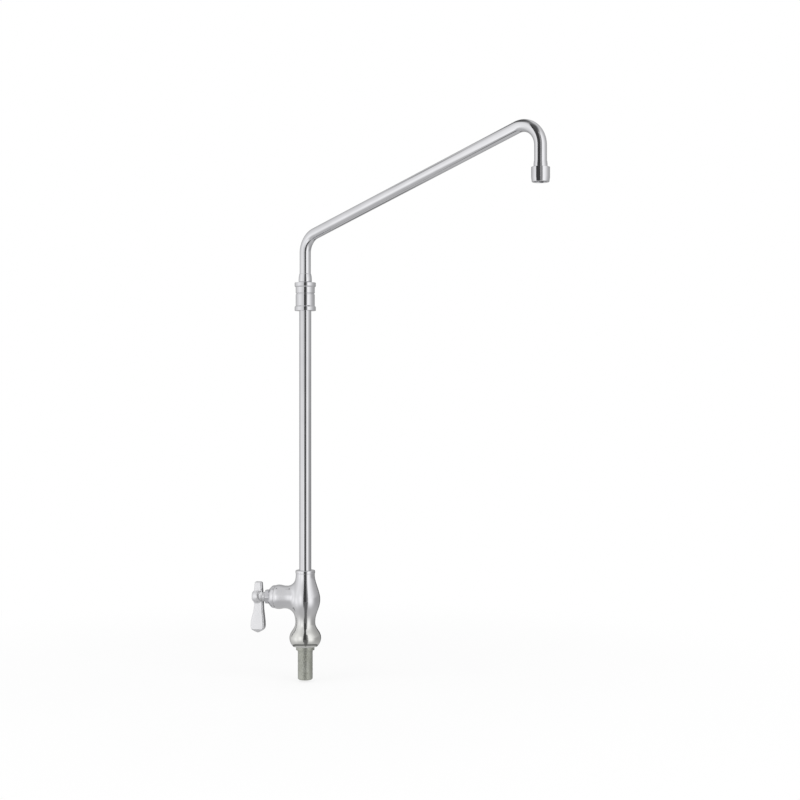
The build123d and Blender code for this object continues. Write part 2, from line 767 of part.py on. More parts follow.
# Lever handle: round hub, flared paddle hanging down and a short nub above, one casting
with BuildPart() as handle:
    neck_half = lever_neck_width / 2
    end_half = lever_end_width / 2
    end_distance = lever_distance + lever_sweep
    end_drop = lever_length - lever_point_height
    with BuildSketch(valve_plane):
        with BuildLine():
            Polyline(
                (lever_distance - neck_half, -lever_neck_drop),
                (lever_distance - neck_half, 0),
                (lever_distance + neck_half, 0),
                (lever_distance + neck_half, -lever_neck_drop),
            )
            Spline(
                (lever_distance + neck_half, -lever_neck_drop),
                (end_distance + end_half, -end_drop),
                tangents=[(0, -1), (0.1, -1)],
            )
            Polyline(
                (end_distance + end_half, -end_drop),
                (end_distance, -lever_length),
                (end_distance - end_half, -end_drop),
            )
            Spline(
                (end_distance - end_half, -end_drop),
                (lever_distance - neck_half, -lever_neck_drop),
                tangents=[(0, 1), (0, 1)],
            )
        make_face()
    extrude(amount=base_radius, both=True)
    with BuildSketch(Plane.YZ):
        with BuildLine():
            half_neck = lever_neck_thickness / 2
            half_end = lever_end_thickness / 2
            half_tip = lever_tip_thickness / 2
            Polyline(
                (half_neck, valve_height),
                (half_neck, valve_height - lever_neck_drop),
                (half_end, valve_height - end_drop),
                (half_tip, valve_height - lever_length),
                (-half_tip, valve_height - lever_length),
                (-half_end, valve_height - end_drop),
                (-half_neck, valve_height - lever_neck_drop),
                (-half_neck, valve_height),
                close=True,
            )
        make_face()
    extrude(amount=2 * hub_distance, both=True, mode=Mode.INTERSECT)
    crossing_edges = handle.edges().filter_by(Axis.X) + handle.edges().filter_by(Axis.Y)
    lever_top = handle.faces().sort_by(Axis.Z)[-1]
    chamfer(handle.edges() - crossing_edges - lever_top.edges(), length=lever_bevel)
    fillet(handle.edges().filter_by(Axis.Y).sort_by(Axis.Z)[0], radius=lever_point_round)
    end_height = valve_height - end_drop
    corner_edges = handle.edges().filter_by(Axis.Y).filter_by_position(Axis.Z, end_height - 1, end_height + 1)
    fillet(corner_edges, radius=lever_corner_round)
    with BuildSketch(Plane.XY.offset(valve_height)):
        with Locations((-lever_distance, 0)):
            RectangleRounded(nub_base_width, lever_neck_thickness, nub_edge)
    with BuildSketch(Plane.XY.offset(valve_height + nub_height)):
        with Locations((-lever_distance, 0)):
            RectangleRounded(nub_top_width, nub_thickness, nub_edge)
    loft()
    nub_top = handle.faces().sort_by(Axis.Z)[-1]
    fillet(nub_top.edges(), radius=nub_edge * 0.8)
    # Hub: ball with a round boss towards the packing nut
    with BuildSketch(valve_plane):
        with BuildLine():
            ball_start = hub_distance - sqrt(hub_radius**2 - hub_boss_radius**2)
            hub_end = hub_distance + hub_radius
            ThreePointArc((ball_start, hub_boss_radius), (hub_distance, hub_radius), (hub_end, 0))
            Polyline(
                (ball_start, hub_boss_radius),
                (hub_inner_face, hub_boss_radius),
                (hub_inner_face, 0),
                (hub_end, 0),
            )
        make_face()
    revolve(axis=valve_axis)
    with BuildSketch(across_valve(hub_inner_face)):
        Rectangle(square_width + 2 * fixed_fit, square_width + 2 * fixed_fit)
    extrude(amount=square_length, mode=Mode.SUBTRACT)
    with BuildSketch(across_valve(spindle_end)):
        Circle(screw_radius + fixed_fit)
    extrude(amount=web_thickness, mode=Mode.SUBTRACT)
    with BuildSketch(across_valve(screw_seat)):
        Circle(screw_head_radius + fixed_fit)
    extrude(amount=hub_radius, mode=Mode.SUBTRACT)
    with BuildSketch(across_valve(cap_seat)):
        Circle(cap_radius + fixed_fit)
    extrude(amount=hub_radius, mode=Mode.SUBTRACT)
handle.part.label = "handle"
export_step(handle.part, "parts/handle.step")

# Screw that holds the handle on the spindle's square
with BuildPart() as handle_screw:
    with BuildSketch(across_valve(screw_seat)):
        Circle(screw_head_radius)
    extrude(amount=screw_head_height)
    with BuildSketch(across_valve(screw_seat)):
        Circle(screw_radius)
    extrude(amount=-screw_length)
    with BuildSketch(across_valve(screw_seat + screw_head_height)):
        Rectangle(screw_slot_width, 2 * screw_head_radius)
    extrude(amount=-screw_slot_depth, mode=Mode.SUBTRACT)
handle_screw.part.label = "handle_screw"
export_step(handle_screw.part, "parts/handle_screw.step")

# Cap that closes the hub over the screw, bare of any mark
with BuildPart() as handle_cap:
    with BuildSketch(valve_plane):
        with BuildLine():
            cap_end = cap_seat + cap_thickness
            Polyline(
                (cap_end + cap_dome, 0),
                (cap_seat, 0),
                (cap_seat, cap_radius),
                (cap_end, cap_radius),
            )
            cap_sphere = (cap_radius**2 + cap_dome**2) / (2 * cap_dome)
            cap_rise = sqrt(cap_sphere**2 - cap_radius**2 / 4) - cap_sphere
            cap_middle = (cap_end + cap_dome + cap_rise, cap_radius / 2)
            ThreePointArc((cap_end, cap_radius), cap_middle, (cap_end + cap_dome, 0))
        make_face()
    revolve(axis=valve_axis)
handle_cap.part.label = "handle_cap"
export_step(handle_cap.part, "parts/handle_cap.step")
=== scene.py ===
import math

import bmesh
import bpy
import numpy as np
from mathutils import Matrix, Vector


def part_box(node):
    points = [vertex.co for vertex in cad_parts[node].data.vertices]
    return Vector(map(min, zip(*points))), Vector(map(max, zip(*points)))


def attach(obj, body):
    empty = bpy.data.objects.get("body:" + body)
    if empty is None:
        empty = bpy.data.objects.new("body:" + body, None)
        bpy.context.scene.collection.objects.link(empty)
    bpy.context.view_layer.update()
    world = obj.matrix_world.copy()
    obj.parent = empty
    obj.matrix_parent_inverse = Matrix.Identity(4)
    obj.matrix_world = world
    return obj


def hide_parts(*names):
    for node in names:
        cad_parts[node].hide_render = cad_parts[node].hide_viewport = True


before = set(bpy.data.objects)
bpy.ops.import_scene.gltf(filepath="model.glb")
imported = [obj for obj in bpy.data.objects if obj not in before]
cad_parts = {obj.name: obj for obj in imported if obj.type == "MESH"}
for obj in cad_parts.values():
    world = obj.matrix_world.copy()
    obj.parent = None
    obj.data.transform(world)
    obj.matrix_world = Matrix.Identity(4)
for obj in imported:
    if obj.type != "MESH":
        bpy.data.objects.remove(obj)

# Swing-spout tap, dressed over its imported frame. Shapes are worked out in millimetres
# and become metres when they go into a mesh.
mm = 0.001
weldWithin, shortestEdge = 1e-6, 1e-7  # metres, between the points of a mesh
turnSteps = 144  # columns of points round a turned piece
valveHeight = 69.0  # of the valve's line, which runs along -X
# roundings of edges that show no round of their own
sharp, crisp, slight, small, soft = 0.05, 0.1, 0.15, 0.2, 0.3
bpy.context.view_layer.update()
print("frame loaded,", len(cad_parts), "nodes")


# Helpers for arrays of points

def nodeBox(name):
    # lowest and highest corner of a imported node, in millimetres
    low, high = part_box(name)
    return np.array(low) / mm, np.array(high) / mm


def unit(vectors):
    return vectors / np.linalg.norm(vectors, axis=-1, keepdims=True)


def between(first, last, share):
    return first + (last - first) * share


def fullTurn(count):
    return np.linspace(0, 2 * math.pi, count, endpoint=False)


def gridFaces(rows, columns, closedRows=False, closedColumns=True):
    # a quad between each four neighbours of a grid, also across the ends where a direction is closed
    index = np.arange(rows * columns).reshape(rows, columns)
    if closedRows:
        index = np.vstack([index, index[:1]])
    if closedColumns:
        index = np.hstack([index, index[:, :1]])
    return np.stack([index[:-1, :-1], index[:-1, 1:], index[1:, 1:], index[1:, :-1]], -1).reshape(-1, 4)


def evenSteps(count):
    # column of values from 0 to 1
    return np.linspace(0, 1, count)[:, None]


def resampled(line, stations):
    # points of a line, given as rows of two values, at row numbers with a fraction
    return np.stack([np.interp(stations, np.arange(len(line)), line[:, k]) for k in (0, 1)], -1)


def arcBetween(a, b, t, least=1e-9):
    # great-circle steps from unit vector a to unit vector b: a sin((1-t)w) + b sin(t w), over sin(w)
    w = np.arccos(np.clip(np.sum(a * b, axis=-1, keepdims=True), -1, 1))
    return (np.sin((1 - t) * w) * a + np.sin(t * w) * b) / np.maximum(np.sin(w), least)


def roundedProfile(corners, closed=True, steps=6, hold=0.12, holdShare=0.3, leastRound=0.03,
                   leastRun=0.01, straight=0.9999999):
    # rows of (radius, distance, rounding): each corner becomes an arc tangent to its two runs,
    # with a holding point beyond both ends, so that the flats beside it stay flat
    corners = np.array(corners, float)
    p, rounding = corners[:, :2], np.maximum(corners[:, 2:], leastRound)
    back, ahead = np.roll(p, 1, 0) - p, np.roll(p, -1, 0) - p
    runBack, runAhead = (np.linalg.norm(run, axis=1, keepdims=True) for run in (back, ahead))
    back, ahead = back / runBack, ahead / runAhead
    half = np.arccos(np.clip(np.sum(back * ahead, axis=1, keepdims=True), -straight, straight)) / 2
    cut = rounding / np.tan(half)
    centre = p + unit(back + ahead) * rounding / np.sin(half)
    holdBack = np.minimum(hold, holdShare * np.maximum(runBack - cut - np.roll(cut, 1, 0), leastRun))
    holdAhead = np.minimum(hold, holdShare * np.maximum(runAhead - cut - np.roll(cut, -1, 0), leastRun))
    start, end = p + back * cut, p + ahead * cut
    arcs = centre[:, None] + rounding[:, None] * arcBetween(
        unit(start - centre)[:, None], unit(end - centre)[:, None], evenSteps(steps + 1))
    before, after = start + back * holdBack, end + ahead * holdAhead
    rows = np.concatenate([before[:, None], arcs, after[:, None]], axis=1)
    if closed:
        return rows.reshape(-1, 2)
    return np.vstack([p[:1], rows[1:-1].reshape(-1, 2), p[-1:]])


def ringProfile(inner, outer, base, top, edge):
    return roundedProfile([(inner, base, edge), (outer, base, edge), (outer, top, edge), (inner, top, edge)])


def upright(r, h, angle, centre=(0, 0)):
    # points at radius r and height h, carried round an upright line
    return np.stack([centre[0] + r * np.cos(angle), centre[1] + r * np.sin(angle), h + 0 * angle], -1)


def onValve(r, d, angle):
    # points at radius r and distance d outward, carried round the valve's line
    return np.stack([-d + 0 * angle, r * np.sin(angle), valveHeight + r * np.cos(angle)], -1)


def newMesh(name, points, faces, material):
    mesh = bpy.data.meshes.new(name)
    mesh.from_pydata(points.reshape(-1, 3).tolist(), [], faces.tolist())
    mesh.materials.append(material)
    return mesh


def newObject(name, data):
    thing = bpy.data.objects.new(name, data)
    bpy.context.scene.collection.objects.link(thing)
    return thing


def addPiece(name, points, faces, body, replaced, slot, material):
    mesh = newMesh(name, points * mm, faces, material)
    edit = bmesh.new()
    edit.from_mesh(mesh)
    bmesh.ops.remove_doubles(edit, verts=edit.verts, dist=weldWithin)
    bmesh.ops.dissolve_degenerate(edit, edges=edit.edges, dist=shortestEdge)
    bmesh.ops.recalc_face_normals(edit, faces=edit.faces)
    edit.to_mesh(mesh)
    edit.free()
    mesh.shade_smooth()
    piece = newObject(name, mesh)
    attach(piece, body)
    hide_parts(replaced)
    return piece


def gridPiece(name, points, *riding, closed=True):
    # piece whose points are one grid, closed round its columns and, where asked, over its rows;
    # riding is the body, the node replaced, the slot, which is not used, and the finish
    return addPiece(name, points, gridFaces(*points.shape[:2], closedRows=closed), *riding)


def turnedPiece(name, profile, *riding, closed=True, centre=(0, 0), valve=False):
    r, d, angle = profile[:, :1], profile[:, 1:], fullTurn(turnSteps)
    points = onValve(r, d, angle) if valve else upright(r, d, angle, centre)
    return gridPiece(name, points, *riding, closed=closed)


# Finishes

noiseRange = (0.3, 0.7)  # most noise lies in it
fineDetail, softDetail = 4.0, 2.0  # of noise
finerBy = 4  # roughness varies so much more finely than colour


def clearedTree(owner):
    # node tree of a new material or world, with nothing in it
    owner.use_nodes = True
    owner.node_tree.nodes.clear()
    return owner.node_tree


def newMaterial(name):
    material = bpy.data.materials.new(name)
    return material, clearedTree(material)


def feed(tree, node, inputs):
    # each input takes a value, or a link where it is given another node's output
    for key, value in inputs.items():
        if isinstance(value, bpy.types.NodeSocket):
            tree.links.new(value, node.inputs[key])
        else:
            node.inputs[key].default_value = value
    return node


def newNode(tree, kind, inputs=None):
    return feed(tree, tree.nodes.new("ShaderNode" + kind), inputs or {})


def attributeNode(tree, name):
    node = newNode(tree, "Attribute")
    node.attribute_name = name
    return node


def patternCoords(tree, stretch=(1, 1, 1), attribute=None):
    # object coordinates, or a named attribute of the piece, stretched along each axis
    if attribute:
        source = attributeNode(tree, attribute).outputs["Vector"]
    else:
        source = newNode(tree, "TexCoord").outputs["Object"]
    return newNode(tree, "Mapping", {"Vector": source, "Scale": stretch}).outputs["Vector"]


def noise(tree, coords, scale, detail=3.0):
    return newNode(tree, "TexNoise", {"Vector": coords, "Scale": scale, "Detail": detail}).outputs["Fac"]


def mapped(tree, value, fromLow, fromHigh, toLow=0.0, toHigh=1.0, interpolation="LINEAR"):
    node = newNode(tree, "MapRange", {
        "Value": value, "From Min": fromLow, "From Max": fromHigh, "To Min": toLow, "To Max": toHigh})
    node.interpolation_type = interpolation
    return node.outputs["Result"]


def spread(tree, value, low, high):
    # noise becomes a value between low and high
    return mapped(tree, value, *noiseRange, low, high)


def mixColours(tree, share, first, second):
    node = tree.nodes.new("ShaderNodeMix")
    node.data_type = "RGBA"
    return feed(tree, node, {0: share, 6: first, 7: second}).outputs[2]


def mixShaders(tree, share, first, second):
    return newNode(tree, "MixShader", {0: share, 1: first, 2: second}).outputs["Shader"]


def twoTone(tree, value, s):
    return mixColours(tree, spread(tree, value, 0, 1), (*s["dark"], 1), (*s["light"], 1))


def bumps(tree, heights):
    # heights: (value, depth in metres), one over the other
    normal = None
    for value, depth in heights:
        node = newNode(tree, "Bump", {"Height": value, "Distance": depth})
        if normal:
            tree.links.new(normal, node.inputs["Normal"])
        normal = node.outputs["Normal"]
    return normal


def paintedWarmReflection(tree, coords, colour, s):
    # the colour turns to a warmer one below a height, over a soft step: a painted warm reflection on the low
    # part
    height = newNode(tree, "SeparateXYZ", {0: coords}).outputs["Z"]
    return mixColours(tree, mapped(tree, height, *s["warmReflectionBelow"]), (*s["warmReflection"], 1), colour)


def addSurface(tree, s, colour, rough, heights, metallic):
    shader = newNode(tree, "BsdfPrincipled", {
        "Base Color": colour, "Roughness": spread(tree, rough, *s["roughness"]),
        "Normal": bumps(tree, heights), "Metallic": metallic})
    newNode(tree, "OutputMaterial", {"Surface": shader.outputs["BSDF"]})


def metalFinish(name, s):
    material, tree = newMaterial(name)
    attribute = s.get("attribute")
    plain = patternCoords(tree, attribute=attribute)
    lines = patternCoords(tree, s["lineStretch"], attribute)
    colour = twoTone(tree, noise(tree, plain, s["cloudScale"]), s)
    if "warmReflectionBelow" in s:
        colour = paintedWarmReflection(tree, plain, colour, s)
    rough = noise(tree, plain, s["cloudScale"] * finerBy, fineDetail)
    ripple = noise(tree, plain, s["rippleScale"], softDetail)
    polish = noise(tree, lines, 1.0, fineDetail)
    addSurface(tree, s, colour, rough, [(ripple, s["rippleDepth"]), (polish, s["lineDepth"])], 1.0)
    return material


def plainFinish(name, s):
    material, tree = newMaterial(name)
    coords = patternCoords(tree)
    colour = twoTone(tree, noise(tree, coords, s["cloudScale"], fineDetail), s)
    grain = noise(tree, coords, s["grainScale"])
    addSurface(tree, s, colour, grain, [(grain, s["grainDepth"])], 0.0)
    return material


aroundUpright = (20, 20, 2600)  # fine lines round an upright axis
aroundValve = (2600, 20, 20)  # fine lines round the valve's axis

chromeLook = dict(
    light=(0.66, 0.66, 0.679), dark=(0.62, 0.62, 0.638), cloudScale=35, roughness=(0.07, 0.11),
    rippleScale=90, rippleDepth=1e-5, lineStretch=aroundUpright, lineDepth=4e-7)
castLook = dict(chromeLook, roughness=(0.08, 0.12), rippleDepth=2e-5, rippleScale=120)
valveLook = dict(chromeLook, roughness=(0.13, 0.18), lineStretch=aroundValve)
brassLook = dict(
    light=(0.80, 0.62, 0.32), dark=(0.70, 0.52, 0.25), cloudScale=80, roughness=(0.22, 0.34),
    rippleScale=400, rippleDepth=1e-5, lineStretch=aroundValve, lineDepth=6e-6)
plasticLook = dict(
    light=(0.80, 0.80, 0.77), dark=(0.72, 0.72, 0.69), cloudScale=120, grainScale=2200,
    grainDepth=1e-5, roughness=(0.35, 0.5))

chrome = metalFinish("polishedChrome", chromeLook)
# darker copy of the chrome for the riser: painted shade, so the riser reads darker than the other chrome
riserPaintedShadeChrome = metalFinish("riserPaintedShadeChrome", dict(
    chromeLook, light=(0.595, 0.595, 0.612), dark=(0.56, 0.56, 0.577)))
# the casting turns warmer near its foot: painted warm reflection
castChrome = metalFinish("castChrome", dict(
    castLook, warmReflectionBelow=(0.02, 0.06), warmReflection=(0.645, 0.645, 0.622)))
# paler copy of the chrome for the handle: painted light, so the handle reads brighter
handlePaintedLightChrome = metalFinish("handlePaintedLightChrome", dict(
    castLook, light=(0.72, 0.72, 0.735), dark=(0.68, 0.68, 0.695), roughness=(0.32, 0.37),
    rippleDepth=1e-5, lineDepth=1e-7))
valveChrome = metalFinish("valveChrome", valveLook)
# darker copy of the valve chrome for the packing nut: painted shade, so the nut reads darker
nutPaintedShadeChrome = metalFinish("nutPaintedShadeChrome", dict(
    valveLook, roughness=(0.2, 0.26), light=(0.57, 0.57, 0.59), dark=(0.53, 0.53, 0.55)))
tubeChrome = metalFinish("tubeChrome", dict(
    chromeLook, attribute="straight", lineStretch=(900, 60, 60)))
shankMetal = metalFinish("rawShank", dict(
    light=(0.50, 0.51, 0.47), dark=(0.40, 0.41, 0.36), cloudScale=70, roughness=(0.38, 0.48),
    rippleScale=500, rippleDepth=2e-5, lineStretch=aroundUpright, lineDepth=6e-6))
brass = metalFinish("machinedBrass", brassLook)
steel = metalFinish("machinedSteel", dict(
    brassLook, light=(0.60, 0.60, 0.59), dark=(0.52, 0.52, 0.51), cloudScale=90,
    roughness=(0.25, 0.35), rippleScale=500, rippleDepth=8e-6))
rubber = plainFinish("sealRubber", dict(
    light=(0.035, 0.035, 0.036), dark=(0.022, 0.022, 0.023), cloudScale=150, grainScale=2500,
    grainDepth=2e-5, roughness=(0.5, 0.7)))
fibre = plainFinish("gasketFibre", dict(
    light=(0.075, 0.055, 0.05), dark=(0.045, 0.032, 0.03), cloudScale=300, grainScale=1800,
    grainDepth=5e-5, roughness=(0.7, 0.9)))
whitePlastic = plainFinish("whitePlastic", plasticLook)
greyPlastic = plainFinish("greyPlastic", dict(
    plasticLook, light=(0.40, 0.40, 0.41), dark=(0.33, 0.33, 0.34), cloudScale=160, grainScale=2000))
ceramic = plainFinish("groundCeramic", dict(
    light=(0.86, 0.85, 0.80), dark=(0.80, 0.79, 0.74), cloudScale=100, grainScale=3000,
    grainDepth=3e-6, roughness=(0.12, 0.2)))
print("finishes made")


# Column with its branch, one casting

# leans: share of the rise held upright at both ends of the curves to waist, belly and neck
column = dict(
    footRadius=17.5, baseRadius=22.5, baseHeight=11.4, footSwell=0.7, footSwellHeight=0.45, footRound=0.25,
    waistRadius=14.1, waistHeight=34.0, bellyRadius=21.2, bellyHeight=66.7,
    neckRadius=13.4, neckLength=2.3, rimRadius=13.9, rimHeight=4.6, rimRound=1.4,
    leans=(0.45, 0.42, 0.3), curveSteps=(32, 40, 44), footSteps=20, denseSteps=3000,
    socketRadius=8.6, socketDepth=17.0, spigotRadius=9.05, spigotLength=15.0,
    segments=192, holeColumns=34, holeLow=32.5, holeHigh=101.0)
branch = dict(
    radius=16.1, blendTop=13.0, blendUnder=14.5, straightEnd=28.0, swellUpright=29.3, swellSide=21.5,
    beadRadius=17.3, beadDistance=37.2, endRadius=16.5, endSlope=-0.35, endRound=0.35,
    chamberRadius=11.0, chamberFloor=26.0, farthest=60.0, halvings=30,
    patchSteps=9, ballSteps=15, straightSteps=6, swellSteps=22, beadSteps=16)


def archedPoints(start, middle, end, count):
    # circle through three points, from the first to the last
    (ax, ay), (bx, by), (cx, cy) = start, middle, end
    d = 2 * (ax * (by - cy) + bx * (cy - ay) + cx * (ay - by))
    a2, b2, c2 = ax**2 + ay**2, bx**2 + by**2, cx**2 + cy**2
    ux = (a2 * (by - cy) + b2 * (cy - ay) + c2 * (ay - by)) / d
    uy = (a2 * (cx - bx) + b2 * (ax - cx) + c2 * (bx - ax)) / d
    centre, radius = np.array([ux, uy]), math.hypot(ax - ux, ay - uy)
    a, b = (np.array(start) - centre) / radius, (np.array(end) - centre) / radius
    return centre + radius * arcBetween(a[None], b[None], evenSteps(count))


def risingCurve(start, end, lean, count):
    # cubic Bezier curve that leaves and arrives upright
    t = evenSteps(count)
    a, d = np.array(start, float), np.array(end, float)
    rise = np.array([0, (d[1] - a[1]) * lean])
    return (1 - t)**3 * a + 3 * (1 - t)**2 * t * (a + rise) + 3 * (1 - t) * t**2 * (d - rise) + t**3 * d


def hermite(x, x0, x1, y0, y1, slope0, slope1):
    # cubic through two points with a slope at each
    h = x1 - x0
    t = (x - x0) / h
    return ((2*t**3 - 3*t**2 + 1) * y0 + (t**3 - 2*t**2 + t) * h * slope0
            + (3*t**2 - 2*t**3) * y1 + (t**3 - t**2) * h * slope1)


def columnProfile(s, top):
    foot, base = (s["footRadius"], 0), (s["baseRadius"], s["baseHeight"])
    swell = (between(foot[0], base[0], s["footSwell"]), s["footSwellHeight"] * base[1])
    waist, belly = (s["waistRadius"], s["waistHeight"]), (s["bellyRadius"], s["bellyHeight"])
    neck = (s["neckRadius"], top - s["rimHeight"] - s["neckLength"])
    curves = zip((base, waist, belly), (waist, belly, neck), s["leans"], s["curveSteps"])
    return np.vstack([archedPoints(foot, swell, base, s["footSteps"])] + [
        risingCurve(start, end, lean, count)[1:] for start, end, lean, count in curves])


def filletSpine(profile, b, angle):
    # centre of a ball that rolls round the branch and touches column and branch at once: it lies
    # branch radius + ball radius from the valve's line, and a ball radius from the column, found by
    # halving; the ball grows smoothly from above the branch to below it
    ball = between(b["blendTop"], b["blendUnder"], (1 - np.cos(angle)) / 2)
    reach = b["radius"] + ball
    y, z = reach * np.sin(angle), valveHeight + reach * np.cos(angle)
    near, far = np.zeros_like(angle), np.full_like(angle, b["farthest"])
    for _ in range(b["halvings"]):
        x = (near + far) / 2
        rho = np.hypot(x, y)
        apart = np.hypot(rho[:, None] - profile[:, 0], z[:, None] - profile[:, 1])
        tooFar = (rho > np.interp(z, profile[:, 1], profile[:, 0])) & (apart.min(axis=1) > ball)
        near, far = np.where(tooFar, near, x), np.where(tooFar, x, far)
    return np.stack([-x, y, z], -1), profile[apart.argmin(axis=1)], ball[:, None]


def bodyMesh(s, b):
    low, high = nodeBox("body")
    end, top = -low[0], high[2]
    wall = columnProfile(s, top)
    dense = resampled(wall, np.linspace(0, len(wall) - 1, s["denseSteps"]))
    rimLow, socketLow = top - s["rimHeight"], top - s["socketDepth"]
    rim = roundedProfile([
        (s["neckRadius"], rimLow - s["neckLength"], 0), (s["neckRadius"], rimLow, soft),
        (s["rimRadius"], rimLow + s["rimRadius"] - s["neckRadius"], soft),
        (s["rimRadius"], top, s["rimRound"]), (s["socketRadius"], top, slight),
        (s["socketRadius"], socketLow, small), (0, socketLow, 0)], closed=False)[1:]
    under = roundedProfile([
        (0, s["spigotLength"], 0), (s["spigotRadius"], s["spigotLength"], small),
        (s["spigotRadius"], 0, small), (s["footRadius"], 0, s["footRound"]), (*wall[1], 0)],
        closed=False)[:-1]
    profile = np.vstack([under, wall[1:], rim])
    grid = upright(profile[:, :1], profile[:, 1:], fullTurn(s["segments"]))
    rows, columns = grid.shape[:2]

    # the window in the column's grid that the branch grows from, centred on -X
    firstRow, lastRow = (
        len(under) + int(np.argmin(np.abs(wall[1:, 1] - s[height]))) for height in ("holeLow", "holeHigh"))
    left, right = columns // 2 - s["holeColumns"], columns // 2 + s["holeColumns"]
    keep = np.ones((rows - 1, columns), bool)
    keep[firstRow:lastRow, left:right] = False
    faces = gridFaces(rows, columns)[keep.ravel()]

    # its rim, followed once round: over the top, down one side, back below, up the other
    edge = np.concatenate([
        grid[lastRow, left:right], grid[lastRow:firstRow:-1, right],
        grid[firstRow, right:left:-1], grid[firstRow:lastRow, left]])
    angle = np.arctan2(edge[:, 1], edge[:, 2] - valveHeight)
    spine, touch, ballRadius = filletSpine(dense, b, angle)

    # from the rim across the column to where the ball touches it
    edgeTurn, touchTurn = np.arctan2(edge[:, 1], -edge[:, 0]), np.arctan2(spine[:, 1], -spine[:, 0])
    share = evenSteps(b["patchSteps"])
    turn, height = between(edgeTurn, touchTurn, share), between(edge[:, 2], touch[:, 1], share)
    radius = np.interp(height, dense[:, 1], dense[:, 0])
    onColumn = np.stack([-radius * np.cos(turn), radius * np.sin(turn), height], -1)

    # round the ball, then out along the branch and its bead
    onBranch = onValve(b["radius"], -spine[:, 0], angle)
    ball = spine + ballRadius * arcBetween(
        unit(onColumn[-1] - spine)[None], unit(onBranch - spine)[None], evenSteps(b["ballSteps"])[..., None])
    swellStart = between(b["swellUpright"], b["swellSide"], np.sin(angle)**2)
    straight = between(-spine[:, 0], swellStart, evenSteps(b["straightSteps"])[1:])
    bead = b["beadDistance"]
    run1, run2 = bead - b["straightEnd"], end - bead
    rise1, rise2 = (b["beadRadius"] - b["radius"]) / run1, (b["endRadius"] - b["beadRadius"]) / run2
    beadSlope = (3 * (run2 * rise1 + run1 * rise2) - run1 * b["endSlope"]) / (2 * (run1 + run2))
    d1 = between(swellStart, bead, evenSteps(b["swellSteps"])[1:])
    r1 = hermite(d1, swellStart, bead, b["radius"], b["beadRadius"], 0, beadSlope)
    d2 = np.linspace(bead, end - b["endRound"], b["beadSteps"])[1:]
    r2 = hermite(d2, bead, end, b["beadRadius"], b["endRadius"], beadSlope, b["endSlope"])
    mouth = roundedProfile([
        (r2[-1], d2[-1], 0), (b["endRadius"], end, b["endRound"]), (b["chamberRadius"], end, small),
        (b["chamberRadius"], b["chamberFloor"], small), (0, b["chamberFloor"], 0)], closed=False)[2:]
    rings = np.vstack([np.stack([r2, d2], -1), mouth])
    tubeRadius = np.vstack([np.full_like(straight, b["radius"]), r1, rings[:, :1] + 0 * angle])
    tubeDistance = np.vstack([straight, d1, rings[:, 1:] + 0 * angle])
    patch = np.concatenate([onColumn, ball[1:], onValve(tubeRadius, tubeDistance, angle)])
    patchFaces = gridFaces(len(patch), len(angle)) + rows * columns
    return np.vstack([grid.reshape(-1, 3), patch.reshape(-1, 3)]), np.vstack([faces, patchFaces])


points, faces = bodyMesh(column, branch)
addPiece("tapBody", points, faces, "base", "body", "polished_chrome", castChrome)
print("body made")


# Inlet shank with its thread

shank = dict(
    radius=10.65, collarHeight=5.4, collarRound=0.5, threadPitch=1.814, threadDepth=0.32, threadStart=7.2,
    threadFade=2.0, ridgePower=0.7, boreRadius=5.5, chamfer=1.6, firstRow=0.3, registerRadius=12.6,
    registerDepth=1.0, spigotRadius=9.0, columns=120, rowsPerTurn=12)


def shankMesh(s):
    low, high = nodeBox("inlet_shank")
    collarRadius, bottom, top = (high[0] - low[0]) / 2, low[2], high[2]
    radius, register, bore, collar = s["radius"], s["registerRadius"], s["boreRadius"], -s["collarHeight"]
    threadTop, threadLow, endRadius = -s["threadStart"], bottom + s["firstRow"], radius - s["chamfer"]
    upper = roundedProfile([
        (radius, threadTop, 0), (radius, collar, small), (collarRadius, collar, s["collarRound"]),
        (collarRadius, 0, soft), (register, 0, sharp), (register, s["registerDepth"], crisp),
        (s["spigotRadius"], s["registerDepth"], crisp), (s["spigotRadius"], top, small),
        (bore, top, small), (bore, bottom, soft), (endRadius, bottom, crisp),
        (endRadius + s["firstRow"], threadLow, 0)], closed=False)[1:-1]
    angle = fullTurn(s["columns"])
    # thread: a rounded ridge that climbs one pitch a turn, fades in at the top and ends in a chamfer
    threadRows = int((threadTop - bottom) / s["threadPitch"] * s["rowsPerTurn"])
    wall = np.linspace(threadLow, threadTop, threadRows)[:, None]
    phase = wall / s["threadPitch"] + angle / (2 * math.pi)
    ridge = 0.5 - 0.5 * np.cos(2 * math.pi * phase)
    fade = np.clip((threadTop - wall) / s["threadFade"], 0, 1)
    groove = s["threadDepth"] * (1 - ridge**s["ridgePower"]) * fade
    r = np.minimum(radius - groove, endRadius + (wall - bottom))
    return np.concatenate([upright(r, wall, angle), upright(upper[:, :1], upper[:, 1:], angle)])


gridPiece("inletShank", shankMesh(shank), "base", "inlet_shank", "raw_shank", shankMetal)
print("shank made")


# Riser, swivel and the two turned pieces over it

riser = dict(wall=1.9, edge=0.3)
low, high = nodeBox("riser_tube")
riserRadius, riserTop = (high[0] - low[0]) / 2, high[2]
riserBore = riserRadius - riser["wall"]
turnedPiece("riserTube", ringProfile(riserBore, riserRadius, low[2], riserTop, riser["edge"]),
            "base", "riser_tube", "polished_chrome", riserPaintedShadeChrome)

washer = dict(edge=0.1, clear=0.03)  # clear of the spout foot that turns on it
low, high = nodeBox("lower_thrust_washer")
washerRadius, washerTop = (high[0] - low[0]) / 2, high[2] - washer["clear"]
turnedPiece("lowerThrustWasher", ringProfile(riserBore, washerRadius, low[2], washerTop, washer["edge"]),
            "base", "lower_thrust_washer", "white_plastic", whitePlastic)

swivel = dict(
    flangeHeight=7.0, flangeRadius=15.1, flangeRound=0.7, radius=13.6, height=23.5, shoulderRound=0.5,
    groove=1.0, grooveEdge=0.8, threadRadius=11.7, boreRadius=9.8, seatHeight=4.0, tubeHole=8.01,
    skirt=8.6, fit=0.05)


